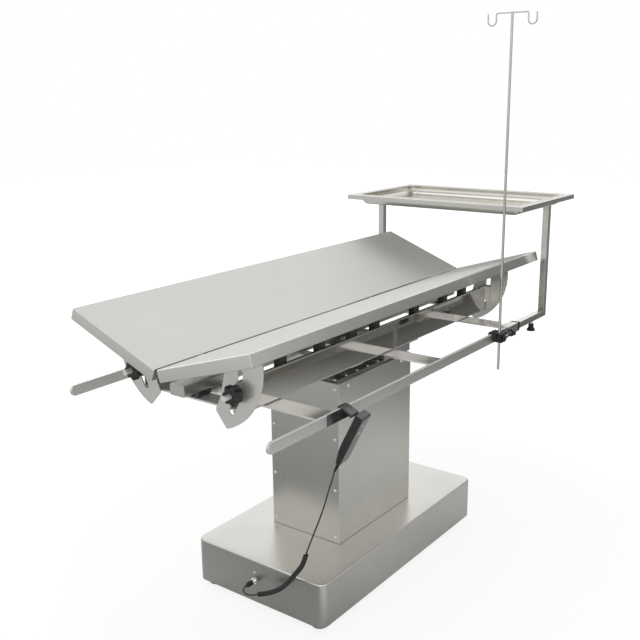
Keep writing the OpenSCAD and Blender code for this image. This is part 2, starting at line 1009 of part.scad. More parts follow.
module handset_side(inset) {
    t = hand_thick / 2 - inset;
    h = hand_len - inset;
    polygon([
        [-t, -inset], [t - 3, -inset], [t, -3 - inset], [t, -h * 0.6], [t - 3, -h * 0.8],
        [t - 8, -h], [-t + 3, -h], [-t, -h + 8]
    ]);
}

module handset_shell() {
    color("black")
        handset_place()
            difference() {
                across(-hand_wid / 2, hand_wid / 2)
                    handset_side(0);
                across(-hand_wid / 2 + 2.5, hand_wid / 2 - 2.5)
                    handset_side(2.5);
                // The front is let into the shell
                translate([0, -hand_thick / 2, -hand_len / 2])
                    cube([hand_wid - 5, 8, hand_len - 12], center = true);
                translate([0, 0, -hand_len - 1])
                    cylinder(d = 7, h = 6);
            }
}

module handset_front() {
    color("gray")
        handset_place()
            difference() {
                translate([0, -hand_thick / 2 + 1.5, -hand_len / 2])
                    cube([hand_wid - 5.4, 3, hand_len - 12.4], center = true);
                for (z = [-28, -52])
                    translate([0, 0, z])
                        rotate([90, 0, 0])
                            cylinder(r = button_d / 2 + button_play, h = 20);
            }
}

module button_at(z) {
    color("white")
        handset_place()
            translate([0, -hand_thick / 2 - 1.6, z])
                rotate([-90, 0, 0]) {
                    cylinder(d = button_d, h = 6.5);
                    translate([0, 0, 6.5])
                        cylinder(d = button_d + 3, h = 1.2);
                }
}

module up_button() {
    button_at(-28);
}

module down_button() {
    button_at(-52);
}

module strain_relief() {
    color("black")
        handset_place()
            translate([0, 0, -hand_len - 34])
                difference() {
                    cylinder(d1 = 6, d2 = 11, h = 34);
                    for (i = [0 : 3])
                        translate([0, 0, 8 + i * 6])
                            difference() {
                                cylinder(d = 14, h = 2);
                                cylinder(d = 5.5, h = 2);
                            }
                }
}

module handset_cord() {
    color("black")
        placed()
            cord_run(hand_route, 30);
}

// Panels, drawn on the far side with the pin at the origin

module panel_body() {
    r = top_over_pin - rim_deep;
    out = panel_wid - edge_past_pin;
    difference() {
        sized(panel_left, panel_left + panel_len, -edge_past_pin, out, r, top_over_pin);
        sized(panel_left + panel_sheet, panel_left + panel_len - panel_sheet,
            -edge_past_pin + panel_sheet, out - panel_sheet, r - 1, top_over_pin - panel_sheet);
        // The inner rim is cut away at the hinges
        for (x = stations)
            sized(x - 18, x + 18, -edge_past_pin - 1, 0, r - 1, top_over_pin - panel_sheet);
    }
    // Rims are folded in along the bottom
    sized(panel_left, panel_left + panel_len, out - 11, out, r, r + panel_sheet);
    for (x = [panel_left, panel_left + panel_len - 11])
        sized(x, x + 11, 20, out, r, r + panel_sheet);
}

module panel_ribs() {
    under = top_over_pin - panel_sheet;
    out = panel_wid - edge_past_pin;
    for (x = rib_x)
        translate([x, 0, 0])
            difference() {
                sized(-28, 28, 22, out - 14, under - 12, under);
                sized(-20, 20, 20, out - 12, under - 10.5, under - 1.5);
            }
    for (x = stations) {
        for (s = [-1, 1])
            translate([x + s * (lug_off + lug_thick / 2), 0, 0])
                across(-lug_thick / 2, lug_thick / 2)
                    union() {
                        circle(8.5);
                        polygon([[-5, under], [-7, 5], [6, -6], [20, -4], [60, under - 3],
                            [60, under]]);
                    }
        translate([x - lug_off - lug_thick, 0, 0])
            rotate([0, 90, 0])
                cylinder(d = pin_d, h = 2 * (lug_off + lug_thick));
    }
}

module sector_outline() {
    under = top_over_pin - panel_sheet;
    difference() {
        intersection() {
            translate([60, 5.5])
                circle(sector_edge, $fn = 96);
            polygon([
                [123, under], [108, -34.5], [74, -92], [48, -119], [46, -126], [64, -171],
                [68, -174.5], [300, -174.5], [300, under]
            ]);
        }
        // Arc slot about the hinge pin
        difference() {
            circle(slot_r + slot_wid / 2, $fn = 96);
            circle(slot_r - slot_wid / 2, $fn = 96);
            slot_wedge();
        }
        for (a = [slot_lo, slot_hi])
            translate([slot_r * sin(a), -slot_r * cos(a)])
                circle(slot_wid / 2);
    }
}

module slot_wedge() {
    b = 400;
    polygon([
        [0, 0], [b * sin(slot_hi), -b * cos(slot_hi)], [b, b], [-b, b], [-b, -b],
        [b * sin(slot_lo), -b * cos(slot_lo) - 0]
    ]);
}

module angle_plates() {
    for (x = [left_sector, right_sector])
        across(x, x + sector_thick)
            sector_outline();
}

module far_leaf() {
    placed()
        translate([0, pin_y, pin_z])
            rotate([far_angle, 0, 0])
                children();
}

module near_leaf() {
    placed()
        mirror([0, 1, 0])
            translate([0, pin_y, pin_z])
                rotate([near_angle, 0, 0])
                    children();
}

module near_panel() {
    color("whitesmoke")
        near_leaf()
            panel_body();
}

module far_panel() {
    color("whitesmoke")
        far_leaf()
            panel_body();
}

module near_ribs() {
    color("gray")
        near_leaf()
            panel_ribs();
}

module far_ribs() {
    color("gray")
        far_leaf()
            panel_ribs();
}

module near_angle_plates() {
    color("lightgray")
        near_leaf()
            angle_plates();
}

module far_angle_plates() {
    color("lightgray")
        far_leaf()
            angle_plates();
}

// Knobs: a lobed head with a round neck, the bore runs along Z

module lobed(d, h, lobes) {
    linear_extrude(h)
        union() {
            circle(d * 0.37);
            for (i = [0 : lobes - 1])
                rotate([0, 0, i * 360 / lobes])
                    translate([d * 0.36, 0])
                        circle(d * 0.14);
        }
}

module clamp_knob(x, y, dir) {
    color("black")
        placed()
            translate([x, y, stud_z])
                rotate([0, 90 * dir, 0])
                    difference() {
                        union() {
                            cylinder(d = 28, h = 10);
                            translate([0, 0, 10])
                                lobed(knob_d, 22, 7);
                        }
                        translate([0, 0, -1])
                            cylinder(r = stud_d / 2 + knob_play, h = 40);
                    }
}

module near_left_knob() {
    clamp_knob(left_sector - 0.5, -stud_y, -1);
}

module near_right_knob() {
    clamp_knob(right_sector + sector_thick + 0.5, -stud_y, 1);
}

module far_left_knob() {
    clamp_knob(left_sector - 0.5, stud_y, -1);
}

module far_right_knob() {
    clamp_knob(right_sector + sector_thick + 0.5, stud_y, 1);
}

// Stand and tray

module stand_leg() {
    a = leg_side;
    b = leg_side - 2 * leg_wall;
    difference() {
        union() {
            sized(leg_in, leg_out, leg_y - a / 2, leg_y + a / 2, leg_bottom, leg_bottom + a);
            sized(leg_out - a, leg_out, leg_y - a / 2, leg_y + a / 2, leg_bottom, leg_top);
        }
        sized(leg_in - 1, leg_out - leg_wall, leg_y - b / 2, leg_y + b / 2, leg_bottom + leg_wall,
            leg_bottom + leg_wall + b);
        sized(leg_out - a + leg_wall, leg_out - leg_wall, leg_y - b / 2, leg_y + b / 2,
            leg_bottom + leg_wall, leg_top + 1);
        translate([leg_foot_x, leg_y, leg_bottom - 1])
            cylinder(d = 8.6, h = 5);
    }
}

module far_stand_leg() {
    color("silver")
        placed()
            stand_leg();
}

module near_stand_leg() {
    color("silver")
        placed()
            mirror([0, 1, 0])
                stand_leg();
}

module stand_feet() {
    color("black")
        placed()
            both_sides()
                translate([leg_foot_x, leg_y, leg_bottom]) {
                    translate([0, 0, -12])
                        cylinder(d = 8, h = 15);
                    translate([0, 0, -4])
                        cylinder(d = 13, h = 4);
                    translate([0, 0, -22])
                        cylinder(d = 18, h = 12);
                    translate([0, 0, -30])
                        cylinder(d1 = 29, d2 = 19, h = 8);
                    translate([0, 0, -35])
                        cylinder(d = 29, h = 5);
                }
}

module tray_frame() {
    w = tf_right - tf_left;
    color("silver")
        placed()
            translate([(tf_left + tf_right) / 2, 0, leg_top])
                difference() {
                    rounded_block(w, 2 * tf_half, tf_high, 3);
                    translate([0, 0, -1])
                        rounded_block(w - 2 * tf_wid, 2 * tf_half - 2 * tf_wid, tf_high + 2, 2);
                    // The tube is hollow
                    translate([0, 0, 2])
                        difference() {
                            rounded_block(w - 4, 2 * tf_half - 4, tf_high - 4, 2);
                            translate([0, 0, -1])
                                rounded_block(w - 2 * tf_wid + 4, 2 * tf_half - 2 * tf_wid + 4,
                                    tf_high, 2);
                        }
                }
}

module dish(w, d, h, r) {
    // Upright walls above the rounded bottom edges
    intersection() {
        union() {
            translate([0, 0, r])
                rounded_block(w, d, h, r);
            for (s = [-1, 1]) {
                translate([0, s * (d / 2 - r), r])
                    rotate([0, 90, 0])
                        cylinder(r = r, h = w - 2 * r, center = true);
                translate([s * (w / 2 - r), 0, r])
                    rotate([90, 0, 0])
                        cylinder(r = r, h = d - 2 * r, center = true);
                for (t = [-1, 1])
                    translate([s * (w / 2 - r), t * (d / 2 - r), r])
                        sphere(r);
            }
            translate([-w / 2 + r, -d / 2 + r, 0])
                cube([w - 2 * r, d - 2 * r, r + 1]);
        }
        translate([-w, -d, 0])
            cube([2 * w, 2 * d, h]);
    }
}

module instrument_tray() {
    w = tf_right - tf_left - 2 * tf_wid - 2 * tray_play;
    d = 2 * tf_half - 2 * tf_wid - 2 * tray_play;
    color("linen")
        placed()
            translate([(tf_left + tf_right) / 2, 0, tf_top - tray_deep])
                difference() {
                    union() {
                        dish(w, d, tray_deep + tray_sheet / 2, tray_round);
                        translate([0, 0, tray_deep])
                            rounded_block(w + 18, d + 18, tray_sheet, tray_round + 9);
                    }
                    translate([0, 0, tray_sheet])
                        dish(w - 2 * tray_sheet, d - 2 * tray_sheet, tray_deep + 5,
                            tray_round - tray_sheet);
                }
}

// Drip pole and its clamp

clamp_left = pole_x - 13;
clamp_right = pole_x + 31;
clamp_front = -rail_out - 30;
clamp_back = -rail_in + 6;
clamp_top = rail_top + 4;
boss_len = 14;
knob_z = rail_low + 15;

module clamp_outline() {
    polygon([
        [clamp_left, rail_low + 9], [clamp_left, clamp_top], [clamp_right, clamp_top],
        [clamp_right, rail_low + 13], [clamp_right - 8, rail_low + 5],
        [clamp_left + 4, rail_low + 5]
    ]);
}

module clamp_block() {
    color("black")
        placed() {
            difference() {
                union() {
                    translate([0, -rail_out - 0.3, 0])
                        rotate([90, 0, 0])
                            linear_extrude(29.7)
                                clamp_outline();
                    sized(clamp_left, clamp_right, -rail_out - 1, clamp_back, rail_top + 0.3,
                        clamp_top);
                    sized(clamp_left, clamp_right, -rail_in + 0.3, clamp_back, rail_low + 12,
                        clamp_top);
                    // Boss and nut for the long knob, and a grub screw's boss on the left
                    translate([clamp_right - 1, pole_y, knob_z])
                        rotate([0, 90, 0]) {
                            cylinder(d = 18, h = boss_len + 1);
                            cylinder(d = 13, h = boss_len + 7, $fn = 6);
                        }
                    translate([clamp_left + 1, pole_y + 8, rail_low + 26])
                        rotate([0, -90, 0])
                            cylinder(d = 12, h = 13);
                }
                translate([pole_x, pole_y, 600])
                    cylinder(r = pole_d / 2 + pole_play, h = 200);
                // Threaded holes of the two knobs
                translate([pole_x + 3, pole_y, knob_z])
                    rotate([0, 90, 0])
                        cylinder(d = 6.12, h = 60);
                translate([pole_x - 3, clamp_front - 1, knob_z + 4])
                    rotate([-90, 0, 0])
                        cylinder(d = 6.12, h = 8);
            }
            // Hex screw head on the front face
            translate([clamp_right - 9, clamp_front, rail_low + 22])
                rotate([90, 0, 0])
                    cylinder(d = 9, h = 3.5, $fn = 6);
        }
}

module pole_knob() {
    color("black")
        placed()
            translate([clamp_right, pole_y, knob_z])
                rotate([0, 90, 0]) {
                    translate([0, 0, -25])
                        cylinder(d = 6, h = 60);
                    translate([0, 0, boss_len + 8])
                        cylinder(d = 15, h = 33);
                    translate([0, 0, boss_len + 40])
                        lobed(26, 18, 6);
                }
}

module rail_knob() {
    color("black")
        placed()
            translate([pole_x - 3, clamp_front, knob_z + 4])
                rotate([90, 0, 0]) {
                    translate([0, 0, -6])
                        cylinder(d = 6, h = 10);
                    translate([0, 0, 1])
                        cylinder(d = 20, h = 9);
                }
}

module hook_side() {
    // Straight bar, bend down, drop, round bottom and rising tip
    r = 5;
    rotate([-90, 0, 0])
        cylinder(d = wire_d, h = hook_half - r);
    translate([0, hook_half - r, -r])
        rotate([90, 0, 90])
            rotate_extrude(angle = 90)
                translate([r, 0])
                    circle(d = wire_d, $fn = 24);
    translate([0, hook_half, -21])
        cylinder(d = wire_d, h = 21 - r);
    translate([0, hook_half + hook_r, -21])
        rotate([-90, 0, 90])
            rotate_extrude(angle = 180)
                translate([hook_r, 0])
                    circle(d = wire_d, $fn = 24);
    translate([0, hook_half + 2 * hook_r, -21])
        cylinder(d = wire_d, h = 20);
}

module iv_pole() {
    color("silver")
        placed()
            translate([pole_x, pole_y, 0]) {
                translate([0, 0, pole_low])
                    cylinder(d = pole_d, h = pole_top - pole_low);
                translate([0, 0, pole_top])
                    sphere(d = pole_d);
                translate([0, 0, pole_top])
                    both_sides()
                        hook_side();
            }
}

base_cover();
base_chassis();
base_feet();
control_box();
inner_column();
glide_strips();
actuator_tube();
connector_socket();
cord_plug();
cord_tail();
handset_coil();
column_cover();
column_end_panel();
cover_screws();
column_top_plate();
actuator_rod();
head_channels();
near_side_plate();
far_side_plate();
centre_beam();
beam_saddles();
end_crossbars();
clamp_studs();
rest_pads();
hinge_brackets();
arm_left();
arm_middle();
arm_right();
near_rail();
far_rail();
stand_sockets();
stand_bushes();
handset_hanger();
handset_shell();
handset_front();
strain_relief();
handset_cord();
near_panel();
near_ribs();
near_angle_plates();
far_panel();
far_ribs();
far_angle_plates();
near_left_knob();
near_right_knob();
far_left_knob();
far_right_knob();
near_stand_leg();
far_stand_leg();
tray_frame();
stand_feet();
instrument_tray();
clamp_block();
iv_pole();
pole_knob();
rail_knob();
up_button();
down_button();
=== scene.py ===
import bpy
import bmesh
import json
import math
import time
import numpy as np
from mathutils import Matrix, Vector

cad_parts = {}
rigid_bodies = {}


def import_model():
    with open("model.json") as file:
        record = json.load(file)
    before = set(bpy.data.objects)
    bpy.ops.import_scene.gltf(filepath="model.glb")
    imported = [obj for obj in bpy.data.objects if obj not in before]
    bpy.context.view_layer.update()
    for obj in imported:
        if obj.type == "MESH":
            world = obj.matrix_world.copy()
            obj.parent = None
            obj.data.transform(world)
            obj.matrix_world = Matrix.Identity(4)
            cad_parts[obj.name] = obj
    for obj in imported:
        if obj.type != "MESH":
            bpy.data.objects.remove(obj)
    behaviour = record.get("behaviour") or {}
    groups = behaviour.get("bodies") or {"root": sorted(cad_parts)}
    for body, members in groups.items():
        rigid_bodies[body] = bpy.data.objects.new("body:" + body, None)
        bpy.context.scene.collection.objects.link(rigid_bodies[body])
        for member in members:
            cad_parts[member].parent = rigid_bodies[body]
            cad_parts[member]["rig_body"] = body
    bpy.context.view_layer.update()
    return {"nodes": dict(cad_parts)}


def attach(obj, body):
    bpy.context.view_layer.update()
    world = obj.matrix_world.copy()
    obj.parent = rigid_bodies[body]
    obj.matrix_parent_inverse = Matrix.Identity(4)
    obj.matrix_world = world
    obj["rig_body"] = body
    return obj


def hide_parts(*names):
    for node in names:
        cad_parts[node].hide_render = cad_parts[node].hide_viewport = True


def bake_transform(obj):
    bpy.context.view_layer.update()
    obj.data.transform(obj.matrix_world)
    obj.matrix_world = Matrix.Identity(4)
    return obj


startTime = time.time()
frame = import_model()
nodes = frame["nodes"]
scene = bpy.context.scene


def say(text):
    print("%5.1f s  %s" % (time.time() - startTime, text))


shift = np.array([-0.091, 0.044, 0.0])  # from the table's own origin to the shared frame


# Table millimetres to metres in the shared frame: a thousandth, then the shift
def metres(points):
    return np.atleast_2d(np.asarray(points, float)) / 1000.0 + shift


def metre(x, y, z):
    return tuple(metres([x, y, z])[0])


# The camera at the photograph's angle, fitted to the table's edges there
view = {"place": (-2139.2, -1533.1, 1458.5), "yaw": 0.923, "pitch": -0.255, "roll": -0.012,
        "focalPixels": 887.49, "framePixels": 640.0, "sensor": 36.0}
cameraData = bpy.data.cameras.new("photoCamera")
camera = bpy.data.objects.new("photoCamera", cameraData)
scene.collection.objects.link(camera)
cameraData.sensor_width = view["sensor"]
cameraData.lens = view["sensor"] * view["focalPixels"] / view["framePixels"]
cameraData.clip_start = 0.05
cameraData.clip_end = 60.0
yaw, pitch, roll = view["yaw"], view["pitch"], view["roll"]
forward = Vector((math.sin(yaw) * math.cos(pitch), math.cos(yaw) * math.cos(pitch), math.sin(pitch)))
level = forward.cross(Vector((0, 0, 1))).normalized()
lift = level.cross(forward)
right = math.cos(roll) * level + math.sin(roll) * lift
up = -math.sin(roll) * level + math.cos(roll) * lift
camera.matrix_world = Matrix((
    (right.x, up.x, -forward.x, 0), (right.y, up.y, -forward.y, 0),
    (right.z, up.z, -forward.z, 0), (0, 0, 0, 1)))
camera.location = metre(*view["place"])
scene.camera = camera


# Opens a mesh for bmesh work, lets each step change it and writes it back
def reworked(mesh, *steps):
    work = bmesh.new()
    work.from_mesh(mesh)
    for step in steps:
        step(work)
    work.to_mesh(mesh)
    work.free()


def faceOutward(work):
    bmesh.ops.recalc_face_normals(work, faces=work.faces)


# Points at one place become one, and triangles that lie in one plane become one face
def mergeFlats(work):
    bmesh.ops.remove_doubles(work, verts=work.verts, dist=1e-6)
    bmesh.ops.dissolve_limit(work, angle_limit=math.radians(0.5), verts=work.verts, edges=work.edges)


def splitManySided(work):
    bmesh.ops.triangulate(work, faces=[f for f in work.faces if len(f.verts) > 4])


def smoothByAngle(obj, angle=35.0):
    obj.data.shade_smooth()
    obj.data.set_sharp_from_angle(angle=math.radians(angle))


def addMesh(name, verts, faces, material, body, angle=35.0):
    mesh = bpy.data.meshes.new(name)
    mesh.from_pydata(np.asarray(verts, float).tolist(), [], faces)
    mesh.validate()
    obj = bpy.data.objects.new(name, mesh)
    scene.collection.objects.link(obj)
    mesh.materials.append(material)
    reworked(mesh, faceOutward)
    smoothByAngle(obj, angle)
    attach(obj, body)
    return obj


def applyModifiers(obj):
    bpy.context.view_layer.update()
    made = bpy.data.meshes.new_from_object(obj.evaluated_get(bpy.context.evaluated_depsgraph_get()))
    obj.modifiers.clear()
    old = obj.data
    obj.data = made
    bpy.data.meshes.remove(old)


def bevelled(obj, width, segments, limit=30.0):
    if width > 0:
        bevel = obj.modifiers.new("edges", "BEVEL")
        bevel.width = width
        bevel.segments = segments
        bevel.limit_method = "ANGLE"
        bevel.angle_limit = math.radians(limit)
        applyModifiers(obj)
    smoothByAngle(obj)


def thickened(obj, thick):
    solid = obj.modifiers.new("sheet", "SOLIDIFY")
    solid.thickness = thick
    solid.offset = -1.0
    solid.use_even_offset = True
    applyModifiers(obj)
    smoothByAngle(obj)


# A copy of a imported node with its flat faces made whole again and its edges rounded
def fromNode(node, material, width=0.0008, segments=2):
    source = nodes[node]
    mesh = source.data.copy()
    mesh.name = node + "Piece"
    obj = bpy.data.objects.new(node + "Piece", mesh)
    scene.collection.objects.link(obj)
    reworked(mesh, mergeFlats, faceOutward)
    mesh.materials.clear()
    mesh.materials.append(material)
    for polygon in mesh.polygons:
        polygon.material_index = 0
    bevelled(obj, width, segments)
    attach(obj, source["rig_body"])
    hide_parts(node)
    return obj


# Rings of one count each joined into a skin: point k of a ring meets point k of the next ring
def loft(rings, closeFirst=True, closeLast=True):
    count = len(rings[0])
    verts = np.concatenate([np.asarray(r, float) for r in rings])
    index = np.arange(count)
    nextIndex = (index + 1) % count
    faces = []
    for k in range(len(rings) - 1):
        quads = np.stack([index + k * count, nextIndex + k * count,
                          nextIndex + (k + 1) * count, index + (k + 1) * count], 1)
        faces += quads.tolist()
    if closeFirst:
        faces.append(index[::-1].tolist())
    if closeLast:
        faces.append((index + (len(rings) - 1) * count).tolist())
    return verts, faces


# A level rectangle (x0, x1, y0, y1) whose four corners are quarter circles
def roundedRing(x0, x1, y0, y1, z, radius, steps):
    radius = max(radius, 0.05)  # never quite sharp, so that no two points fall together
    corners = [(x1 - radius, y1 - radius, 0), (x0 + radius, y1 - radius, 90),
               (x0 + radius, y0 + radius, 180), (x1 - radius, y0 + radius, 270)]
    turn = np.linspace(0, 90, steps)
    ring = [np.stack([cx + radius * np.cos(np.radians(a + turn)),
                      cy + radius * np.sin(np.radians(a + turn)), np.full(steps, z)], 1)
            for cx, cy, a in corners]
    return np.concatenate(ring)


# The same rectangle drawn in all round by an inset
def insetRing(box, inset, z, radius, steps):
    x0, x1, y0, y1 = box
    return roundedRing(x0 + inset, x1 - inset, y0 + inset, y1 - inset, z, radius, steps)


def boxAbout(x, y, halfX, halfY):
    return x - halfX, x + halfX, y - halfY, y + halfY


# Rounds a line's corners: near each corner it follows the parabola that touches both sides
def roundedLine(points, radius, steps=5):
    points = [np.array(p, float) for p in points]
    out = [points[0]]
    for a, b, c in zip(points[:-2], points[1:-1], points[2:]):
        u, v = (a - b) / np.linalg.norm(a - b), (c - b) / np.linalg.norm(c - b)
        half = math.acos(max(-1, min(1, float(u @ v)))) / 2
        reach = min(radius / math.tan(half), 0.45 * np.linalg.norm(a - b), 0.45 * np.linalg.norm(c - b))
        p, q = b + u * reach, b + v * reach
        for t in np.linspace(0, 1, steps):
            out.append((1 - t) ** 2 * p + 2 * t * (1 - t) * b + t * t * q)
    out.append(points[-1])
    return np.array(out)


# A folded strip: a line of (y, z), half the thickness to each side, carried along X from low to high
def foldedStrip(name, line, thick, low, high, material, body, radius, edge, slices=1):
    path = roundedLine(line, radius)
    step = np.gradient(path, axis=0)
    step /= np.linalg.norm(step, axis=1)[:, None]
    normal = np.stack([-step[:, 1], step[:, 0]], 1)
    outline = np.concatenate([path + normal * thick / 2, (path - normal * thick / 2)[::-1]])
    rings = [metres(np.stack([np.full(len(outline), x), outline[:, 0], outline[:, 1]], 1))
             for x in np.linspace(low, high, slices + 1)]
    obj = addMesh(name, *loft(rings), material, body)
    bevelled(obj, edge, 2, 50.0)
    return obj


# A turned piece: each (radius, height) of the profile is a circle about the axis through the place
def turned(name, profile, place, axis, material, body, sides=48):
    angle = np.linspace(0, 2 * np.pi, sides, endpoint=False)
    axis = np.array(axis, float) / np.linalg.norm(axis)
    helper = np.array([0.0, 0, 1]) if abs(axis[2]) < 0.9 else np.array([1.0, 0, 0])
    sideA = np.cross(axis, helper)
    sideA /= np.linalg.norm(sideA)
    sideB = np.cross(axis, sideA)
    circle = np.cos(angle)[:, None] * sideA + np.sin(angle)[:, None] * sideB
    rings = [metres(np.array(place, float) + axis * h + max(r, 1e-3) * circle) for r, h in profile]
    return addMesh(name, *loft(rings), material, body)


# A ring about a level axis, at h along it, whose radius may change round the ring
def levelRing(place, axis, h, radius, angle):
    axis, high = np.array(axis, float), np.array([0.0, 0, 1])
    turn = np.cos(angle)[:, None] * high + np.sin(angle)[:, None] * np.cross(axis, high)
    return metres(np.array(place) + axis * h + radius[:, None] * turn)


# A smooth curve through the points at fractions of its length, as the solids' cords have it
def onPath(points, fraction):
    points = np.array(points, float)
    ended = np.vstack([points[0], points, points[-1]])
    n = len(points) - 1
    place = np.atleast_1d(fraction) * n
    i = np.minimum(place.astype(int), n - 1)
    t = (place - i)[:, None]
    a, b, c, d = ended[i], ended[i + 1], ended[i + 2], ended[i + 3]
    return 0.5 * (2 * b + (c - a) * t + (2 * a - 5 * b + 4 * c - d) * t ** 2
                  + (3 * b - a - 3 * c + d) * t ** 3)


def pathDirection(points, fraction):
    step = (onPath(points, np.minimum(np.atleast_1d(fraction) + 0.002, 1))
            - onPath(points, np.maximum(np.atleast_1d(fraction) - 0.002, 0)))
    return step / np.linalg.norm(step, axis=1)[:, None]


sideHelper = np.array([1.0, 0.3, 0.0])  # no cord runs along this direction


def sideOf(step):
    side = sideHelper - step * (step @ sideHelper)[:, None]
    return side / np.linalg.norm(side, axis=1)[:, None]


# A tube along points: a circle square to the path at each, its section turned with the least twist
def tubeMesh(points, radius, sides):
    points = np.asarray(points, float)
    step = np.gradient(points, axis=0)
    step /= np.linalg.norm(step, axis=1)[:, None]
    side = sideHelper - step[0] * (sideHelper @ step[0])
    side /= np.linalg.norm(side)
    sideList = [side]
    for direction in step[1:]:
        side = side - direction * (side @ direction)
        side = side / np.linalg.norm(side)
        sideList.append(side)
    sideA = np.array(sideList)
    sideB = np.cross(step, sideA)
    angle = np.linspace(0, 2 * np.pi, sides, endpoint=False)
    circle = (np.cos(angle)[None, :, None] * sideA[:, None, :]
              + np.sin(angle)[None, :, None] * sideB[:, None, :])
    return loft(list(points[:, None, :] + circle * radius))


# Faces turned up take a second, lighter material: a painted highlight on the tops
def withPaintedTopHighlight(obj, material):
    obj.data.materials.append(material)
    for polygon in obj.data.polygons:
        if polygon.normal.z > 0.7:
            polygon.material_index = 1


def joined(name, objs):
    bpy.ops.object.select_all(action="DESELECT")
    for obj in objs:
        obj.select_set(True)
    bpy.context.view_layer.objects.active = objs[0]
    bpy.ops.object.join()
    objs[0].name = name
    return objs[0]


# A node with its settings; an input is given by name or place, as a value or another node's output
def addNode(tree, kind, inputs=None, **settings):
    node = tree.nodes.new("ShaderNode" + kind)
    for name, value in settings.items():
        setattr(node, name, value)
    for key, value in (inputs or {}).items():
        if isinstance(value, bpy.types.NodeSocket):
            tree.links.new(value, node.inputs[key])
        else:
            node.inputs[key].default_value = value
    return node


# A value that goes evenly from low to high while the source goes from fromLow to fromHigh
def mapped(tree, source, fromLow, fromHigh, low=0.0, high=1.0):
    inputs = {"Value": source, "From Min": fromLow, "From Max": fromHigh, "To Min": low, "To Max": high}
    return addNode(tree, "MapRange", inputs).outputs["Result"]


# The same over the middle of a noise, where nearly all its values lie
def fromNoise(tree, source, low, high):
    return mapped(tree, source, 0.3, 0.7, low, high)


def mixed(tree, factor, a, b, blend="MIX"):
    inputs = {"Factor": factor, "A": a, "B": b}
    return addNode(tree, "Mix", inputs, data_type="RGBA", blend_type=blend).outputs["Result"]


def maths(tree, operation, a, b, clamp=False):
    return addNode(tree, "Math", {0: a, 1: b}, operation=operation, use_clamp=clamp).outputs[0]


# A group with one input and two values out
def newGroup(name, inputName, inputType, outputNames):
    group = bpy.data.node_groups.new(name, "ShaderNodeTree")
    group.interface.new_socket(inputName, in_out="INPUT", socket_type=inputType)
    for output in outputNames:
        group.interface.new_socket(output, in_out="OUTPUT", socket_type="NodeSocketFloat")
    given = group.nodes.new("NodeGroupInput").outputs[inputName]
    leave = group.nodes.new("NodeGroupOutput")
    place = addNode(group, "TexCoord").outputs["Object"]
    return group, given, leave, place


# Fine lines drawn out along one axis, by noise stretched with the scale vector, and slow clouds
def makeGrainGroup():
    group, scale, leave, place = newGroup("brushedGrain", "Scale", "NodeSocketVector", ("Lines", "Cloud"))
    stretched = addNode(group, "VectorMath", {0: place, 1: scale}, operation="MULTIPLY").outputs[0]
    lines = addNode(group, "TexNoise", {"Vector": stretched, "Scale": 1.0, "Detail": 5.0, "Roughness": 0.65})
    cloud = addNode(group, "TexNoise", {"Vector": place, "Scale": 3.5, "Detail": 3.0})
    group.links.new(lines.outputs["Fac"], leave.inputs["Lines"])
    group.links.new(cloud.outputs["Fac"], leave.inputs["Cloud"])
    return group


# Small pits and soft blotches of moulded plastic and rubber
def makeMouldGroup():
    group, size, leave, place = newGroup("mouldedSkin", "Size", "NodeSocketFloat", ("Pits", "Cloud"))
    pits = addNode(group, "TexNoise", {"Vector": place, "Scale": size, "Detail": 4.0})
    cloud = addNode(group, "TexNoise", {"Vector": place, "Scale": 28.0, "Detail": 3.0})
    group.links.new(pits.outputs["Fac"], leave.inputs["Pits"])
    group.links.new(cloud.outputs["Fac"], leave.inputs["Cloud"])
    return group


grainGroup = makeGrainGroup()
mouldGroup = makeMouldGroup()


# A material with its tree, its shader and what the shared group in it puts out
def newMaterial(name, group=None, groupInputs=None):
    material = bpy.data.materials.new(name)
    material.use_nodes = True
    tree = material.node_tree
    detail = addNode(tree, "Group", groupInputs, node_tree=group).outputs if group else None
    return material, tree, tree.nodes["Principled BSDF"], detail


def linkBump(tree, shader, height, strength, distance, normal=None):
    inputs = {"Strength": strength, "Distance": distance, "Height": height}
    if normal is not None:
        inputs["Normal"] = normal
    tree.links.new(addNode(tree, "Bump", inputs).outputs["Normal"], shader.inputs["Normal"])


# Steel: colour, roughness from and to, grain in cycles a metre along X, Y and Z, how far the lines'
# colour spreads, and the bump of the lines and of slow waves
def steel(name, colour, rough, grain, spread=0.05, lines=0.05, waves=0.0, metallic=1.0):
    material, tree, shader, detail = newMaterial(name, grainGroup, {"Scale": grain})
    shader.inputs["Metallic"].default_value = metallic
    colour = np.array(colour)
    dark, light = colour * (1 - spread), np.minimum(colour * (1 + spread), 1)
    tone = mixed(tree, fromNoise(tree, detail["Lines"], 0.0, 1.0), (*dark, 1), (*light, 1))
    tree.links.new(tone, shader.inputs["Base Color"])
    base = fromNoise(tree, detail["Cloud"], *rough)
    extra = fromNoise(tree, detail["Lines"], -min(0.03, 3 * lines), min(0.05, 5 * lines))
    tree.links.new(maths(tree, "ADD", base, extra, True), shader.inputs["Roughness"])
    normal = None
    if waves > 0:
        place = addNode(tree, "TexCoord").outputs["Object"]
        wave = addNode(tree, "TexNoise", {"Vector": place, "Scale": 9.0, "Detail": 2.0}).outputs["Fac"]
        first = addNode(tree, "Bump", {"Strength": waves, "Distance": 0.004, "Height": wave})
        normal = first.outputs["Normal"]
    linkBump(tree, shader, detail["Lines"], lines, 0.0004, normal)
    return material


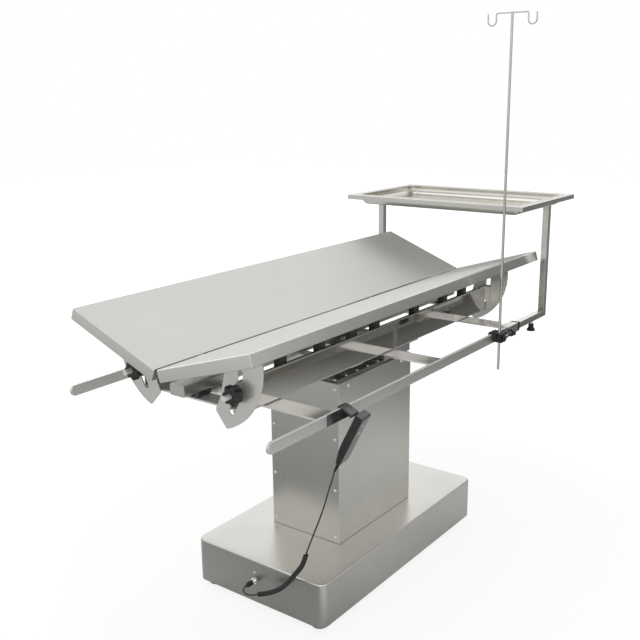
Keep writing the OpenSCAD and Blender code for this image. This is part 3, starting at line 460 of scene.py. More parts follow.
# Plastic, rubber and paint: two colours in soft blotches, roughness from and to, pits a metre and
# how deep they show
def moulded(name, colour, light, rough, size, pits, specular=0.5):
    material, tree, shader, detail = newMaterial(name, mouldGroup, {"Size": size})
    shader.inputs["Specular IOR Level"].default_value = specular
    tone = mixed(tree, fromNoise(tree, detail["Cloud"], 0.0, 1.0), (*colour, 1), (*light, 1))
    tree.links.new(tone, shader.inputs["Base Color"])
    tree.links.new(fromNoise(tree, detail["Cloud"], *rough), shader.inputs["Roughness"])
    linkBump(tree, shader, detail["Pits"], pits, 0.0003)
    return material


steelTop = steel("steelTop", (0.69, 0.682, 0.655), (0.56, 0.64), (6, 900, 900),
                 spread=0.03, lines=0.02, metallic=0.2)
steelRim = steel("steelRim", (0.66, 0.65, 0.615), (0.16, 0.22), (5, 700, 700), spread=0.03, lines=0.003)
steelBase = steel("steelBase", (0.60, 0.59, 0.557), (0.26, 0.34), (5, 600, 600), spread=0.03, lines=0.006)
steelColumn = steel("steelColumn", (0.59, 0.585, 0.55), (0.24, 0.32), (700, 700, 4), spread=0.02, lines=0.003)
# Mirror steel for the side plates, its colour lowered below the steel's own: painted dark reflection
steelMirror = steel("steelMirror", (0.50, 0.49, 0.455), (0.05, 0.09), (8, 300, 300),
                    spread=0.03, lines=0.01, waves=0.05)
# Arm steel is near white, brighter than the steel itself: painted reflection of the bright room on the arms'
# tops
steelArm = steel("steelArm", (0.94, 0.93, 0.91), (0.14, 0.20), (60, 4, 60),
                 spread=0.0, lines=0.0, metallic=0.8)
steelPlate = steel("steelPlate", (0.74, 0.73, 0.695), (0.24, 0.30), (900, 500, 500),
                   spread=0.01, lines=0.0, metallic=0.6)
steelPale = steel("steelPale", (0.84, 0.83, 0.80), (0.30, 0.38), (60, 300, 60),
                  spread=0.02, lines=0.01, metallic=0.35)
# Dark steel for the column's top plate; inside the panels' folds it is painted shade
steelDarkAndFoldShade = steel("steelDarkAndFoldShade", (0.24, 0.235, 0.22), (0.30, 0.38), (8, 300, 300), lines=0.04, metallic=0.6)
steelBar = steel("steelBar", (0.60, 0.595, 0.565), (0.26, 0.34), (8, 500, 500))
steelRail = steel("steelRail", (0.67, 0.66, 0.625), (0.30, 0.38), (8, 400, 400),
                  spread=0.02, lines=0.01, metallic=0.75)
steelTube = steel("steelTube", (0.62, 0.61, 0.58), (0.24, 0.32), (10, 500, 500))
steelUpright = steel("steelUpright", (0.64, 0.63, 0.595), (0.24, 0.32), (500, 500, 10))
steelTray = steel("steelTray", (0.58, 0.565, 0.52), (0.16, 0.24), (60, 60, 60),
                  spread=0.02, lines=0.02, waves=0.04)
steelPole = steel("steelPole", (0.56, 0.555, 0.535), (0.14, 0.20), (60, 60, 6), spread=0.03, lines=0.02)
chrome = steel("chromeBright", (0.86, 0.86, 0.86), (0.05, 0.09), (200, 200, 200), spread=0.02, lines=0.0)
# Bright steel for the screws; on the rails' up-facing edges it is a painted highlight
screwSteelAndRailHighlight = steel("screwSteelAndRailHighlight", (0.97, 0.97, 0.96), (0.22, 0.28), (200, 200, 200),
                   spread=0.0, lines=0.0, metallic=0.3)
paintDark = moulded("paintDark", (0.045, 0.046, 0.048), (0.065, 0.066, 0.068), (0.42, 0.52), 500.0, 0.06)
paintGloss = moulded("paintGloss", (0.035, 0.035, 0.034), (0.06, 0.06, 0.058), (0.18, 0.26), 500.0, 0.02, 1.0)
plasticBlack = moulded("plasticBlack", (0.012, 0.012, 0.012), (0.02, 0.02, 0.02), (0.36, 0.46), 1200.0, 0.10)
plasticGrey = moulded("plasticGrey", (0.15, 0.15, 0.145), (0.21, 0.21, 0.20), (0.34, 0.44), 1400.0, 0.16)
plasticWhite = moulded("plasticWhite", (0.72, 0.72, 0.70), (0.78, 0.78, 0.76), (0.35, 0.45), 1200.0, 0.05)
# Lighter grey for the handset shell's up-facing faces: painted sheen of the bright sky on black plastic
plasticPaintedSheen = moulded("plasticPaintedSheen", (0.10, 0.10, 0.097), (0.16, 0.16, 0.155), (0.30, 0.40), 1400.0, 0.10)
cordBlack = moulded("cordBlack", (0.012, 0.012, 0.012), (0.02, 0.02, 0.02), (0.20, 0.28), 500.0, 0.02, 0.6)
rubberGrey = moulded("rubberGrey", (0.03, 0.03, 0.029), (0.05, 0.05, 0.048), (0.5, 0.6), 900.0, 0.08)
rubberBlack = moulded("rubberBlack", (0.014, 0.014, 0.014), (0.026, 0.026, 0.026), (0.58, 0.72),
                      700.0, 0.18, 0.35)
say("materials")

# The handset's cord, from the handset down to the coil, round its turns and on to the plug
cordD = 4.2
coilPath = [[-477, -222, 272], [-477, -206, 229], [-476, -179, 191], [-475, -150, 154],
            [-474, -117, 122], [-473, -78, 97], [-475, -36, 78]]
handRoute = [[-461, -303, 519], [-466, -300, 498], [-474, -294, 468], [-479, -287, 436], [-479, -275, 402],
             [-478, -262, 370], [-478, -248, 336], [-478, -234, 301], [-477, -222.2, 272.7]]
tailRoute = [[-475, -36, 78], [-479, -24, 74], [-482, -11, 72], [-482, 0, 73], [-478, 9, 76],
             [-470, 13.4, 79.6], [-462.3, 14, 80]]
coilSizes = {"turns": 51, "outer": 14.4, "end": 12.0, "endSweep": 80, "perTurn": 22}


# A circle carried along the coil's path: at each end it opens from nothing over one turn's points
def coilLine(turns, outer, end, endSweep, perTurn):
    rings = turns * perTurn
    i = np.arange(rings + 2 * perTurn + 1)
    last = i[-1]
    part = np.minimum(1, np.minimum(i, last - i) / perTurn)
    curl = np.clip(i - perTurn, 0, rings)
    length = np.linalg.norm(np.diff(np.array(coilPath, float), axis=0), axis=1).sum()
    pitch = (length - 2 * end) / turns
    run = part * end + curl * pitch / perTurn
    run = np.where(i > last - perTurn, length - part * end, run)
    turn = np.radians(360 * curl / perTurn + np.where(i < perTurn, -1, 1) * endSweep * (1 - part) ** 2)
    centre = onPath(coilPath, run / length)
    step = pathDirection(coilPath, run / length)
    sideA = sideOf(step)
    sideB = np.cross(step, sideA)
    reach = (outer - cordD) / 2 * part * part * (3 - 2 * part)
    return centre + reach[:, None] * (np.cos(turn)[:, None] * sideA + np.sin(turn)[:, None] * sideB)


coilPoints = metres(coilLine(**coilSizes))
verts, faces = tubeMesh(coilPoints, cordD / 2000, 10)
coil = bpy.data.objects.new("curlyCord", bpy.data.meshes.new("curlyCord"))
coil.data.from_pydata(verts.tolist(), [], faces)
coil.data.materials.append(cordBlack)
coil.data.shade_smooth()
scene.collection.objects.link(coil)
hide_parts("handset_coil")
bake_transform(coil)

upperLine = metres(onPath(handRoute, np.linspace(0, 1, 97)))
upperCord = addMesh("handsetCord", *tubeMesh(upperLine, cordD / 2000, 14), cordBlack, "head")
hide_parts("handset_cord")
lowerLine = metres(onPath(tailRoute, np.linspace(0, 1, 61)))
lowerCord = addMesh("plugCord", *tubeMesh(lowerLine, cordD / 2000, 14), cordBlack, "base")
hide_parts("cord_tail")

# Where plug and socket meet on the base's end face, and the plug's (radius, height) from there
socketPlace = (-429, 14, 80)
outOfBase = (-1, 0, 0)
plugProfile = [(4.9, -8), (5, -7), (5, 8), (7.2, 8.3), (7.5, 8.8), (7.5, 13), (7.1, 13.4), (7.1, 14.6),
               (7.5, 15), (7.5, 16.6), (7.1, 17), (7.1, 18.2), (7.5, 18.6), (7.5, 24.2), (6.8, 25.2),
               (5.6, 25.6), (5.2, 28), (5.0, 28.2), (5.0, 29.6), (4.4, 30), (3.6, 32), (2.4, 33.2)]
plug = turned("cordPlug", plugProfile, socketPlace, outOfBase, plasticBlack, "base")
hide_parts("cord_plug")


say("cords")

# The base's cover: rings from the bottom edge up round the rim to the column's hole, each (inset, z)
column = {"x": -18, "y": -12}
cover = {"half": (429, 235.75), "corner": 25, "sheet": 0.0016, "hole": (120, 60), "top": 150,
         "rings": [(10, 15.6), (1.5, 15.5), (0.3, 16), (0, 17.5), (0, 144), (0.5, 146.8), (1.9, 149),
                   (4.6, 150), (40, 150)]}
coverBox = boxAbout(0, 0, *cover["half"])
coverRings = [metres(insetRing(coverBox, inset, z, cover["corner"] - min(inset, 22), 10))
              for inset, z in cover["rings"]]
holeBox = boxAbout(column["x"], column["y"], *cover["hole"])
coverRings.append(metres(insetRing(holeBox, 0, cover["top"], 10, 10)))
baseCover = addMesh("baseCover", *loft(coverRings, False, False), steelBase, "base")
thickened(baseCover, cover["sheet"])
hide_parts("base_cover")
for node, material, width in (
        ("base_chassis", paintDark, 0.001), ("control_box", plasticBlack, 0.0008),
        ("inner_column", steelColumn, 0.0), ("glide_strips", plasticWhite, 0.0006),
        ("actuator_tube", paintDark, 0.0008)):
    fromNode(node, material, width)

foot = {"x": 390, "y": 197,
        "profile": [(6, 29), (6, 16.2), (17.4, 15.8), (18.2, 15.2), (18.8, 14), (22.6, 9.8), (23.8, 8.6),
                    (24, 7.6), (24, 1.6), (23.4, 0.4), (22, 0), (12, 0)]}
feet = joined("feet", [turned("foot", foot["profile"], (x * foot["x"], y * foot["y"], 0), (0, 0, 1),
                              rubberBlack, "base") for x in (-1, 1) for y in (-1, 1)])
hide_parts("base_feet")

# The cord's socket: flange, ring nut with 36 knurls, and the screw above
socketSizes = {"flange": [(5.4, 0), (10.2, 0), (10.5, 0.4), (10.5, 1.6), (10.1, 2), (8.6, 2), (8.6, 2.4)],
               "nutRadius": 8.5, "knurl": 0.35, "screwPlace": (-429, 9, 110),
               "nut": [(-1.2, 2.2), (0, 2.8), (0, 7.0), (-0.8, 7.8), (-2.6, 8.0), (-2.9, 7.6), (-2.9, 3.0)],
               "screw": [(0.3, 1.2), (1.6, 1.2), (1.7, 2.1), (2.6, 2.1), (3.3, 1.5), (3.5, 0.8), (3.5, 0)]}
flange = turned("socketFlange", socketSizes["flange"], socketPlace, outOfBase, chrome, "base")
nutSides = 144
angle = np.linspace(0, 2 * np.pi, nutSides, endpoint=False)
knurl = socketSizes["knurl"] * (np.arange(nutSides) % 4 < 2)
nutRings = []
for r, h in socketSizes["nut"]:
    radius = socketSizes["nutRadius"] - knurl * (r == 0) + r
    nutRings.append(metres(np.stack([np.full(nutSides, socketPlace[0] - h),
                                     socketPlace[1] + radius * np.cos(angle),
                                     socketPlace[2] + radius * np.sin(angle)], 1)))
nut = addMesh("socketNut", *loft(nutRings, False, False), chrome, "base")
boltHead = turned("socketScrew", socketSizes["screw"], socketSizes["screwPlace"], outOfBase, chrome, "base")
socket = joined("cordSocket", [flange, nut, boltHead])
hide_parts("connector_socket")
say("base")

# The lifting head: the column's cover, and on its top a bright flange under a dark plate
fromNode("column_cover", steelColumn, 0.0024, 4)
fromNode("column_end_panel", steelColumn, 0.0006)
topSizes = {"half": (193.5, 124), "corner": 4,
            "flange": [(0.4, 649.1), (0, 649.4), (0, 650.2), (0.6, 650.7), (30, 650.7), (30, 649.1)],
            "plate": [(8, 650.9), (7.5, 651.4), (7.5, 656.1), (8.4, 657)]}


# Rings of the column's outline, each (inset, z)
def topRings(part):
    box = boxAbout(column["x"], column["y"], *topSizes["half"])
    return [metres(insetRing(box, inset, z, topSizes["corner"], 4)) for inset, z in topSizes[part]]


flangeStrip = addMesh("coverFlange", *loft(topRings("flange"), False, False), steelColumn, "head")
darkPlate = addMesh("darkPlate", *loft(topRings("plate")), steelDarkAndFoldShade, "head")
topPlate = joined("columnTopPlate", [darkPlate, flangeStrip])
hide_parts("column_top_plate")
for node, material, width in (
        ("actuator_rod", chrome, 0.0), ("head_channels", steelColumn, 0.0008), ("centre_beam", steelBar, 0.0),
        ("beam_saddles", paintDark, 0.0008), ("end_crossbars", steelPale, 0.0008),
        ("clamp_studs", steelPale, 0.0006), ("hinge_brackets", steelBar, 0.0006)):
    fromNode(node, material, width)

# Side plates: the section's points (distance from the middle, z), with a flange above and a lip below
sidePlate = {"thick": 3.0, "x": (-653, 618), "bend": 3.0, "edge": 0.0004, "slices": 60,
             "section": [(160, 784.5), (168.5, 784.5), (168.5, 701.5), (143.5, 701.5), (143.5, 706)]}
for side, sign in (("near", -1), ("far", 1)):
    line = [(sign * y, z) for y, z in sidePlate["section"]]
    piece = foldedStrip(side + "SidePlate", line, sidePlate["thick"], *sidePlate["x"], steelMirror, "head",
                        sidePlate["bend"], sidePlate["edge"], sidePlate["slices"])
    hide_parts(side + "_side_plate")

# Rest pads: a block with rounded top edges on a foot, each (inset, z) up from its underside
pad = {"x": (-479, -314, -165, -47, 175, 355, 485), "half": (15, 14.5), "y": ((137.6, 159.6), (150, 166.8)),
       "block": [(1, 762), (0, 763), (0, 812), (0.8, 813.8), (2.4, 814.6), (7.2, 814.6), (7.4, 812)],
       "foot": [(1, 762.4), (0, 763.4), (0, 781), (1, 782)]}
padList = []
for x in pad["x"]:
    for sign in (-1, 1):
        for part, half, ys in zip(("block", "foot"), pad["half"], pad["y"]):
            box = (x - half, x + half, *sorted((sign * ys[0], sign * ys[1])))
            rings = [metres(insetRing(box, inset, z, 3 - min(inset, 2), 4)) for inset, z in pad[part]]
            padList.append(addMesh("pad", *loft(rings), rubberGrey, "head"))
pads = joined("restPads", padList)
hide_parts("rest_pads")

# Screws: a domed head with a recess, its profile times the size
screw = {"profile": [(0.2, 0.7), (1.7, 0.7), (1.75, 1.95), (2.3, 2.0), (3.0, 1.5), (3.4, 0.8), (3.5, 0)],
         "size": 1.35, "endX": -213.5, "endY": (-124, 103), "endZ": (170, 320, 479, 632),
         "sideX": (-165, 122), "sideY": ((-138, -1), (114, 1)), "sideZ": 634,
         "plateSize": 1.2, "plateStart": -205, "plateStep": 55, "plateY": 108, "plateZ": 657}


def screwHead(place, axis, size=screw["size"]):
    profile = [(r * size, h * size) for r, h in screw["profile"]]
    return turned("screw", profile, place, axis, screwSteelAndRailHighlight, "head", 18)


screws = [screwHead((screw["endX"], y, z), (-1, 0, 0)) for y in screw["endY"] for z in screw["endZ"]]
for x in screw["sideX"]:
    screws += [screwHead((x, y, screw["sideZ"]), (0, way, 0)) for y, way in screw["sideY"]]
for sign in (-1, 1):
    y = column["y"] + sign * screw["plateY"]
    for k in range(7):
        place = (screw["plateStart"] + screw["plateStep"] * k, y, screw["plateZ"])
        screws.append(screwHead(place, (0, 0, 1), screw["plateSize"]))
screws = joined("coverScrews", screws)
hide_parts("cover_screws")

# Arms: flat bars across the table, their ends turned down; each node's middle and reach
arm = {"thick": 5.0, "halfWidth": 32.5, "z": (679, 697.5), "bend": 3.5, "edge": 0.0008,
       "places": {"arm_left": (-537, 336), "arm_middle": (-5, 336), "arm_right": (470, 318)}}
for node, (x, reach) in arm["places"].items():
    low, high = arm["z"]
    end = reach - arm["thick"] / 2
    line = [(-end, low), (-end, high), (end, high), (end, low)]
    piece = foldedStrip(node.replace("_", "") + "Strip", line, arm["thick"], x - arm["halfWidth"],
                        x + arm["halfWidth"], steelArm, "head", arm["bend"], arm["edge"])
    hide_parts(node)

for node in ("near_rail", "far_rail"):
    # The rails' up-facing edges take the bright screw steel: a painted highlight
    withPaintedTopHighlight(fromNode(node, steelRail, 0.0018, 3), screwSteelAndRailHighlight)
fromNode("stand_sockets", steelTube, 0.0012, 3)
fromNode("stand_bushes", plasticBlack, 0.0006)
say("head")


# Panels: sheet folded down all round, rings (inset, z) from the fold's edge to the top, and four
# openings for the hinges. Each stands at its tilt about its own hinge line
panelSizes = {"box": (-767.5, 732.5, -7.5, 304.0), "sheet": 0.0014,
              "tilt": {"near": 17.2, "far": 21.1}, "hingeY": 14, "hingeZ": 806.5,
              "rings": [(11, -22.4), (2.0, -22.5), (0.5, -22.1), (0, -21), (0, 7.0), (0.35, 8.6), (1.1, 9.7),
                        (2.2, 10.3), (3.6, 10.5)],
              "openings": (-600, -200, 165, 565), "opening": (18, -12, 6, -30, 9.05)}


# Points of a leaf in its own frame, turned up by the angle about the hinge line, into the shared frame
def leafPlace(points, sign, angle):
    a = math.radians(angle)
    points = np.asarray(points, float)
    y = points[:, 1] * math.cos(a) - points[:, 2] * math.sin(a) + panelSizes["hingeY"]
    z = points[:, 1] * math.sin(a) + points[:, 2] * math.cos(a) + panelSizes["hingeZ"]
    return metres(np.stack([points[:, 0], sign * y, z], 1))


# Cuts boxes (x0, x1, y0, y1, z0, z1) of a leaf's own frame out of its panel
def cutBoxes(obj, boxes, sign, angle):
    for x0, x1, y0, y1, z0, z1 in boxes:
        corners = np.array([(x, y, z) for x in (x0, x1) for y in (y0, y1) for z in (z0, z1)])
        faces = [(0, 1, 3, 2), (4, 6, 7, 5), (0, 4, 5, 1), (2, 3, 7, 6), (0, 2, 6, 4), (1, 5, 7, 3)]
        mesh = bpy.data.meshes.new("cutter")
        mesh.from_pydata(leafPlace(corners, sign, angle).tolist(), [], faces)
        reworked(mesh, faceOutward)
        cutter = bpy.data.objects.new("cutter", mesh)
        scene.collection.objects.link(cutter)
        cut = obj.modifiers.new("cut", "BOOLEAN")
        cut.object = cutter
        cut.operation = "DIFFERENCE"
        cut.solver = "EXACT"
        applyModifiers(obj)
        bpy.data.objects.remove(cutter)
    smoothByAngle(obj)


for side, sign in (("near", -1), ("far", 1)):
    angle = panelSizes["tilt"][side]
    rings = [leafPlace(insetRing(panelSizes["box"], inset, z, 1.6 if inset < 4 else 0.5, 4), sign, angle)
             for inset, z in panelSizes["rings"]]
    panel = addMesh(side + "TopPanel", *loft(rings, False, True), steelTop, side + "_leaf")
    thickened(panel, panelSizes["sheet"])
    half, *rest = panelSizes["opening"]
    cutBoxes(panel, [(x - half, x + half, *rest) for x in panelSizes["openings"]], sign, angle)
    panel.data.materials.clear()
    for material in (steelTop, steelRim, steelDarkAndFoldShade):
        panel.data.materials.append(material)
    # Brushed on top, dark steel inside the fold as painted shade, polished elsewhere
    a = math.radians(angle)
    upward = Vector((0, -sign * math.sin(a), math.cos(a)))
    inward = Vector((0, -sign * math.cos(a), -math.sin(a)))
    for polygon in panel.data.polygons:
        isTop, isInner = polygon.normal.dot(upward) > 0.9, polygon.normal.dot(inward) > 0.8
        polygon.material_index = 0 if isTop else 2 if isInner else 1
    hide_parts(side + "_panel")
    fromNode(side + "_ribs", steelRim, 0.0004)
    fromNode(side + "_angle_plates", steelPlate, 0.0006)
say("panels")

# Clamping knobs: hub and face are plain (radius, height), the head's radii are parts of the lobes'
bigKnob = {"lobes": 7, "radius": 24.1, "swing": 2.8, "y": 172, "z": 761, "left": -664.5, "right": 629.5,
           "hub": [(7.15, 0.4), (7.6, 0), (13.2, 0), (14, 0.8), (14, 8.6), (15, 9.6)],
           "head": [(0.78, 10.0), (0.93, 10.7), (1.0, 12.6), (1.0, 26.5), (0.965, 29.2), (0.88, 31.1),
                    (0.74, 31.9)],
           "face": [(13.2, 32), (12.4, 31.2), (9.2, 31.2), (8.6, 31.9), (7.5, 32), (7.15, 31.6)]}


# Rings along X; the head's radius is the middle one plus the swing times the cosine of seven turns
def knobPiece(name, x, y, direction, node):
    angle = np.linspace(0, 2 * np.pi, 168, endpoint=False)
    lobes = bigKnob["radius"] + bigKnob["swing"] * np.cos(bigKnob["lobes"] * angle)
    rings = []
    for part in ("hub", "head", "face"):
        for r, h in bigKnob[part]:
            radius = lobes * r if part == "head" else np.full(len(angle), r)
            rings.append(metres(np.stack([np.full(len(angle), x + direction * h), y + radius * np.cos(angle),
                                          bigKnob["z"] + radius * np.sin(angle)], 1)))
    knob = addMesh(name, *loft(rings, False, False), plasticBlack, node, 45)
    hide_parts(node)


for side, sign in (("near", -1), ("far", 1)):
    knobPiece(side + "LeftKnob", bigKnob["left"], sign * bigKnob["y"], -1, side + "_left_knob")
    knobPiece(side + "RightKnob", bigKnob["right"], sign * bigKnob["y"], 1, side + "_right_knob")
say("knobs")

# The tray's stand, and under each of its legs a threaded stem in a rubber cone
fromNode("near_stand_leg", steelUpright, 0.0011, 3)
fromNode("far_stand_leg", steelUpright, 0.0011, 3)
fromNode("tray_frame", steelBar, 0.0012, 3)
standFoot = {"place": (649, 333, 679.5),
             "stem": [(3.9, 3), (3.9, -0.1), (6.4, -0.2), (6.5, -0.8), (6.5, -3.6), (6.2, -4), (4, -4.1),
                      (3.7, -4.6), (4, -5.2), (3.7, -5.8), (4, -6.4), (3.7, -7), (4, -7.6), (3.7, -8.2),
                      (4, -9), (4, -12)],
             "cone": [(4, -10), (8.2, -10.2), (8.9, -11), (9, -19), (9.4, -22), (11, -26.4), (13.6, -29.8),
                      (14.4, -31), (14.5, -32), (14.5, -34), (14.1, -34.8), (13.2, -35), (6, -35)]}
footList = []
for sign in (-1, 1):
    x, y, z = standFoot["place"]
    for part, material in (("stem", chrome), ("cone", rubberBlack)):
        footList.append(turned(part, standFoot[part], (x, sign * y, z), (0, 0, 1), material, "tray_stand"))
standFeet = joined("standFeet", footList)
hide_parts("stand_feet")

# The tray: a rolled edge, then a quarter circle down to the floor, as rings (inset, z over the edge)
traySizes = {"box": (547.0, 919.0, -311.5, 311.5), "top": 1083.0, "bottom": 1048.0, "corner": 25,
             "wall": 1.2, "bend": 23.8, "sheet": 0.0011, "middle": 120,
             "edge": [(-9, -0.1), (-8.9, 0.7), (-8.2, 1.1), (-2, 1.2), (0.2, 0.9), (1.0, -0.4), (1.2, -3)]}
wall, bend, bottom = traySizes["wall"], traySizes["bend"], traySizes["bottom"]
steps = [(inset, traySizes["top"] + z) for inset, z in traySizes["edge"]]
steps += [(wall + bend * (1 - math.cos(t)), bottom + wall + bend * (1 - math.sin(t)))
          for t in np.linspace(0, math.pi / 2, 10)]
rings = [metres(insetRing(traySizes["box"], inset, z, max(traySizes["corner"] - inset, 1.6), 12))
         for inset, z in steps]
rings.append(metres(insetRing(traySizes["box"], traySizes["middle"], bottom + 1.0, 1.0, 12)))
tray = addMesh("instrumentTray", *loft(rings, False, True), steelTray, "tray")
thickened(tray, traySizes["sheet"])
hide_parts("instrument_tray")
say("tray")

# The drip pole: a rod, and to each side a hook that goes out, down, round a half circle and up
poleSizes = {"x": 341.0, "y": -362.0, "hookZ": 1664, "wire": 0.0022,
             "half": 50.0, "bend": 5, "hook": 13.0, "drop": 21.0,
             "rod": [(0.2, 590), (3.4, 590), (4, 590.6), (4, 1663), (3.6, 1666), (2.6, 1667.4),
                     (0.5, 1667.9)]}
poleX, poleY = poleSizes["x"], poleSizes["y"]
half, bend, hook = poleSizes["half"], poleSizes["bend"], poleSizes["hook"]
poleParts = [turned("rod", poleSizes["rod"], (poleX, poleY, 0), (0, 0, 1), steelPole, "drip_pole", 32)]
for sign in (-1, 1):
    arc = np.linspace(0, math.pi, 14)
    quarter = np.linspace(0, math.pi / 2, 8)
    y = np.concatenate([[0, 20, 35], half - bend + bend * np.sin(quarter), [half],
                        half + hook - hook * np.cos(arc), [half + 2 * hook]])
    z = np.concatenate([[0, 0, 0], -bend + bend * np.cos(quarter), [-13],
                        -poleSizes["drop"] - hook * np.sin(arc), [-1.4]])
    line = np.stack([np.full(len(y), poleX), poleY + sign * y, poleSizes["hookZ"] + z], 1)
    poleParts.append(addMesh("hook", *tubeMesh(metres(line), poleSizes["wire"], 16), steelPole, "drip_pole"))
pole = joined("dripPole", poleParts)
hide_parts("iv_pole")

fromNode("clamp_block", plasticBlack, 0.0010, 3)


# A steel hexagon over the clamp's nut or screw: the radius is that of the hexagon's sides, cut to a
# circle that draws in at the chamfer
def hexPiece(name, place, axis, across, low, high):
    turn = np.arange(0, 360, 5.0)
    hexagon = across / 2 / np.cos(np.radians(turn % 60 - 30))
    rings = [levelRing(place, axis, h, np.minimum(hexagon, across / 2 * 1.12 - cut), np.radians(turn))
             for cut, h in [(0, low), (0, high - 0.9), (0.55, high), (across * 0.2, high + 0.02)]]
    addMesh(name, *loft(rings), chrome, "iv_clamp", 30)


hexPiece("clampNut", (372, -362, 690), (1, 0, 0), 13.4, 13.6, 20.3)
hexPiece("clampScrew", (363, -374, 697), (0, -1, 0), 9.3, -0.4, 3.8)


# A small knob: stem, neck and lobed head, each of some radius over a stretch of the axis
def smallKnob(name, place, axis, node, stem, neck, head, depth, size, lobes, swing):
    angle = np.linspace(0, 2 * np.pi, 120, endpoint=False)
    profile = [(3, stem, 0), (3, neck[1] - 0.2, 0), (neck[0], neck[1], 0), (neck[0], head, 0),
               (size * 0.86, head + 0.4, 1), (size * 0.97, head + 1.6, 1), (size * 0.97, head + depth - 2, 1),
               (size * 0.88, head + depth - 0.6, 1), (size * 0.66, head + depth, 1),
               (size * 0.4, head + depth, 0)]
    rings = [levelRing(place, axis, h, radius + lobed * swing * np.cos(lobes * angle), angle)
             for radius, h, lobed in profile]
    knob = addMesh(name, *loft(rings), plasticBlack, node, 45)
    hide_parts(node)


smallKnob("poleKnob", (372, -362, 690), (1, 0, 0), "pole_knob",
          stem=-25, neck=(7.4, 22), head=54, depth=18, size=11.6, lobes=6, swing=1.3)
smallKnob("railKnob", (338, -374, 694), (0, -1, 0), "rail_knob",
          stem=-6, neck=(8, 1), head=2, depth=8, size=9.4, lobes=24, swing=0.4)
say("pole")

# The handset's own frame: z from its top down along it, y from its front to its back
handset = {"place": (-450, -385, 687), "lean": 26, "turn": 8,
           "shell": [(0, -8.2, 8.2, 22.4, 2), (-0.6, -9.8, 9.8, 24.0, 3), (-2.6, -11, 11, 25, 3),
                     (-50, -11, 11, 25, 3), (-91, -11, 11, 25, 3), (-108, -11, 9.8, 24.9, 3),
                     (-124, -11, 7.6, 24.6, 3), (-138, -11, 5.0, 24, 3), (-148, -10.4, 3.4, 22.6, 3),
                     (-151.2, -8.6, 2.4, 20.6, 2.6), (-152, -7, 1.6, 18.6, 2)],
           "face": [(0, -10.6), (0.2, -11.2), (0.8, -11.6), (2.0, -11.7)], "faceBox": (-22.3, 22.3, -146, -6),
           "button": [(3.2, -6.2), (4, -6.6), (4, -11.9), (3.6, -12.4), (2.6, -12.6), (0.3, -12.65)],
           "buttonZ": {"up_button": -28, "down_button": -52},
           "relief": {"top": -152, "length": 34, "radius": 5.5, "taper": 2.5,
                      "ribbed": (6, 30), "pitch": 4, "rib": 2.4, "groove": 0.7}}


# Leans the points back about X, turns them about Z and sets them at the handset's place
def handPlace(points):
    lean, turn = math.radians(handset["lean"]), math.radians(handset["turn"])
    px, py, pz = handset["place"]
    p = np.asarray(points, float)
    y = p[:, 1] * math.cos(lean) - p[:, 2] * math.sin(lean)
    z = p[:, 1] * math.sin(lean) + p[:, 2] * math.cos(lean)
    x = p[:, 0] * math.cos(turn) - y * math.sin(turn)
    y = p[:, 0] * math.sin(turn) + y * math.cos(turn)
    return metres(np.stack([x + px, y + py, z + pz], 1))


# Rings (z, front, back, half width, corner) down the shell
shellRings = [handPlace(roundedRing(-half, half, front, back, z, corner, 6))
              for z, front, back, half, corner in handset["shell"]]
shell = addMesh("handsetShell", *loft(shellRings), plasticBlack, "head")
# The shell's up-facing faces take a lighter grey: a painted sheen
withPaintedTopHighlight(shell, plasticPaintedSheen)
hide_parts("handset_shell")
faceRings = []
for inset, y in handset["face"]:
    flat = insetRing(handset["faceBox"], inset, 0, 3, 6)
    faceRings.append(handPlace(np.stack([flat[:, 0], np.full(len(flat), y), flat[:, 1]], 1)))
facePlate = addMesh("handsetFace", *loft(faceRings), plasticGrey, "head")
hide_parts("handset_front")
for node, z in handset["buttonZ"].items():
    angle = np.linspace(0, 2 * np.pi, 40, endpoint=False)
    rings = [handPlace(np.stack([r * np.cos(angle), np.full(40, y), z + r * np.sin(angle)], 1))
             for r, y in handset["button"]]
    button = addMesh(node.replace("_b", "B"), *loft(rings), plasticWhite, node)
    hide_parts(node)
# The strain relief tapers evenly, with grooves between plain ends
relief = handset["relief"]
start, end = relief["ribbed"]
angle = np.linspace(0, 2 * np.pi, 32, endpoint=False)
reliefRings = []
for h in np.linspace(0, relief["length"], 69):
    r = relief["radius"] - relief["taper"] * h / relief["length"]
    if start < h < end and (h - start) % relief["pitch"] >= relief["rib"]:
        r -= relief["groove"]
    z = np.full(32, relief["top"] - h)
    reliefRings.append(handPlace(np.stack([r * np.cos(angle), r * np.sin(angle), z], 1)))
strainRelief = addMesh("strainRelief", *loft(reliefRings), rubberBlack, "head")
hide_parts("strain_relief")
fromNode("handset_hanger", paintGloss, 0.0005)
say("handset")

# Large flat faces keep their own direction beside small rounded edges
cadPieces = {obj.name for obj in nodes.values()}
for obj in [o for o in scene.objects if o.type == "MESH" and o.name not in cadPieces]:
    reworked(obj.data, splitManySided)
    flats = obj.modifiers.new("flats", "WEIGHTED_NORMAL")
    flats.keep_sharp = True
    applyModifiers(obj)
say("normals")


# Greys along a value, as stops (value, grey) with even steps of tone between them
def greySteps(tree, source, stops):
    low, high = stops[0][0], stops[-1][0]
    node = addNode(tree, "ValToRGB", {"Fac": mapped(tree, source, low, high)})
    elements = node.color_ramp.elements
    for k, (place, grey) in enumerate(stops):
        part = (place - low) / (high - low)
        if k in (0, len(stops) - 1):
            element = elements[0 if k == 0 else -1]
            element.position = part
        else:
            element = elements.new(part)
        element.color = (grey, grey, grey, 1)
    return node.outputs["Color"]


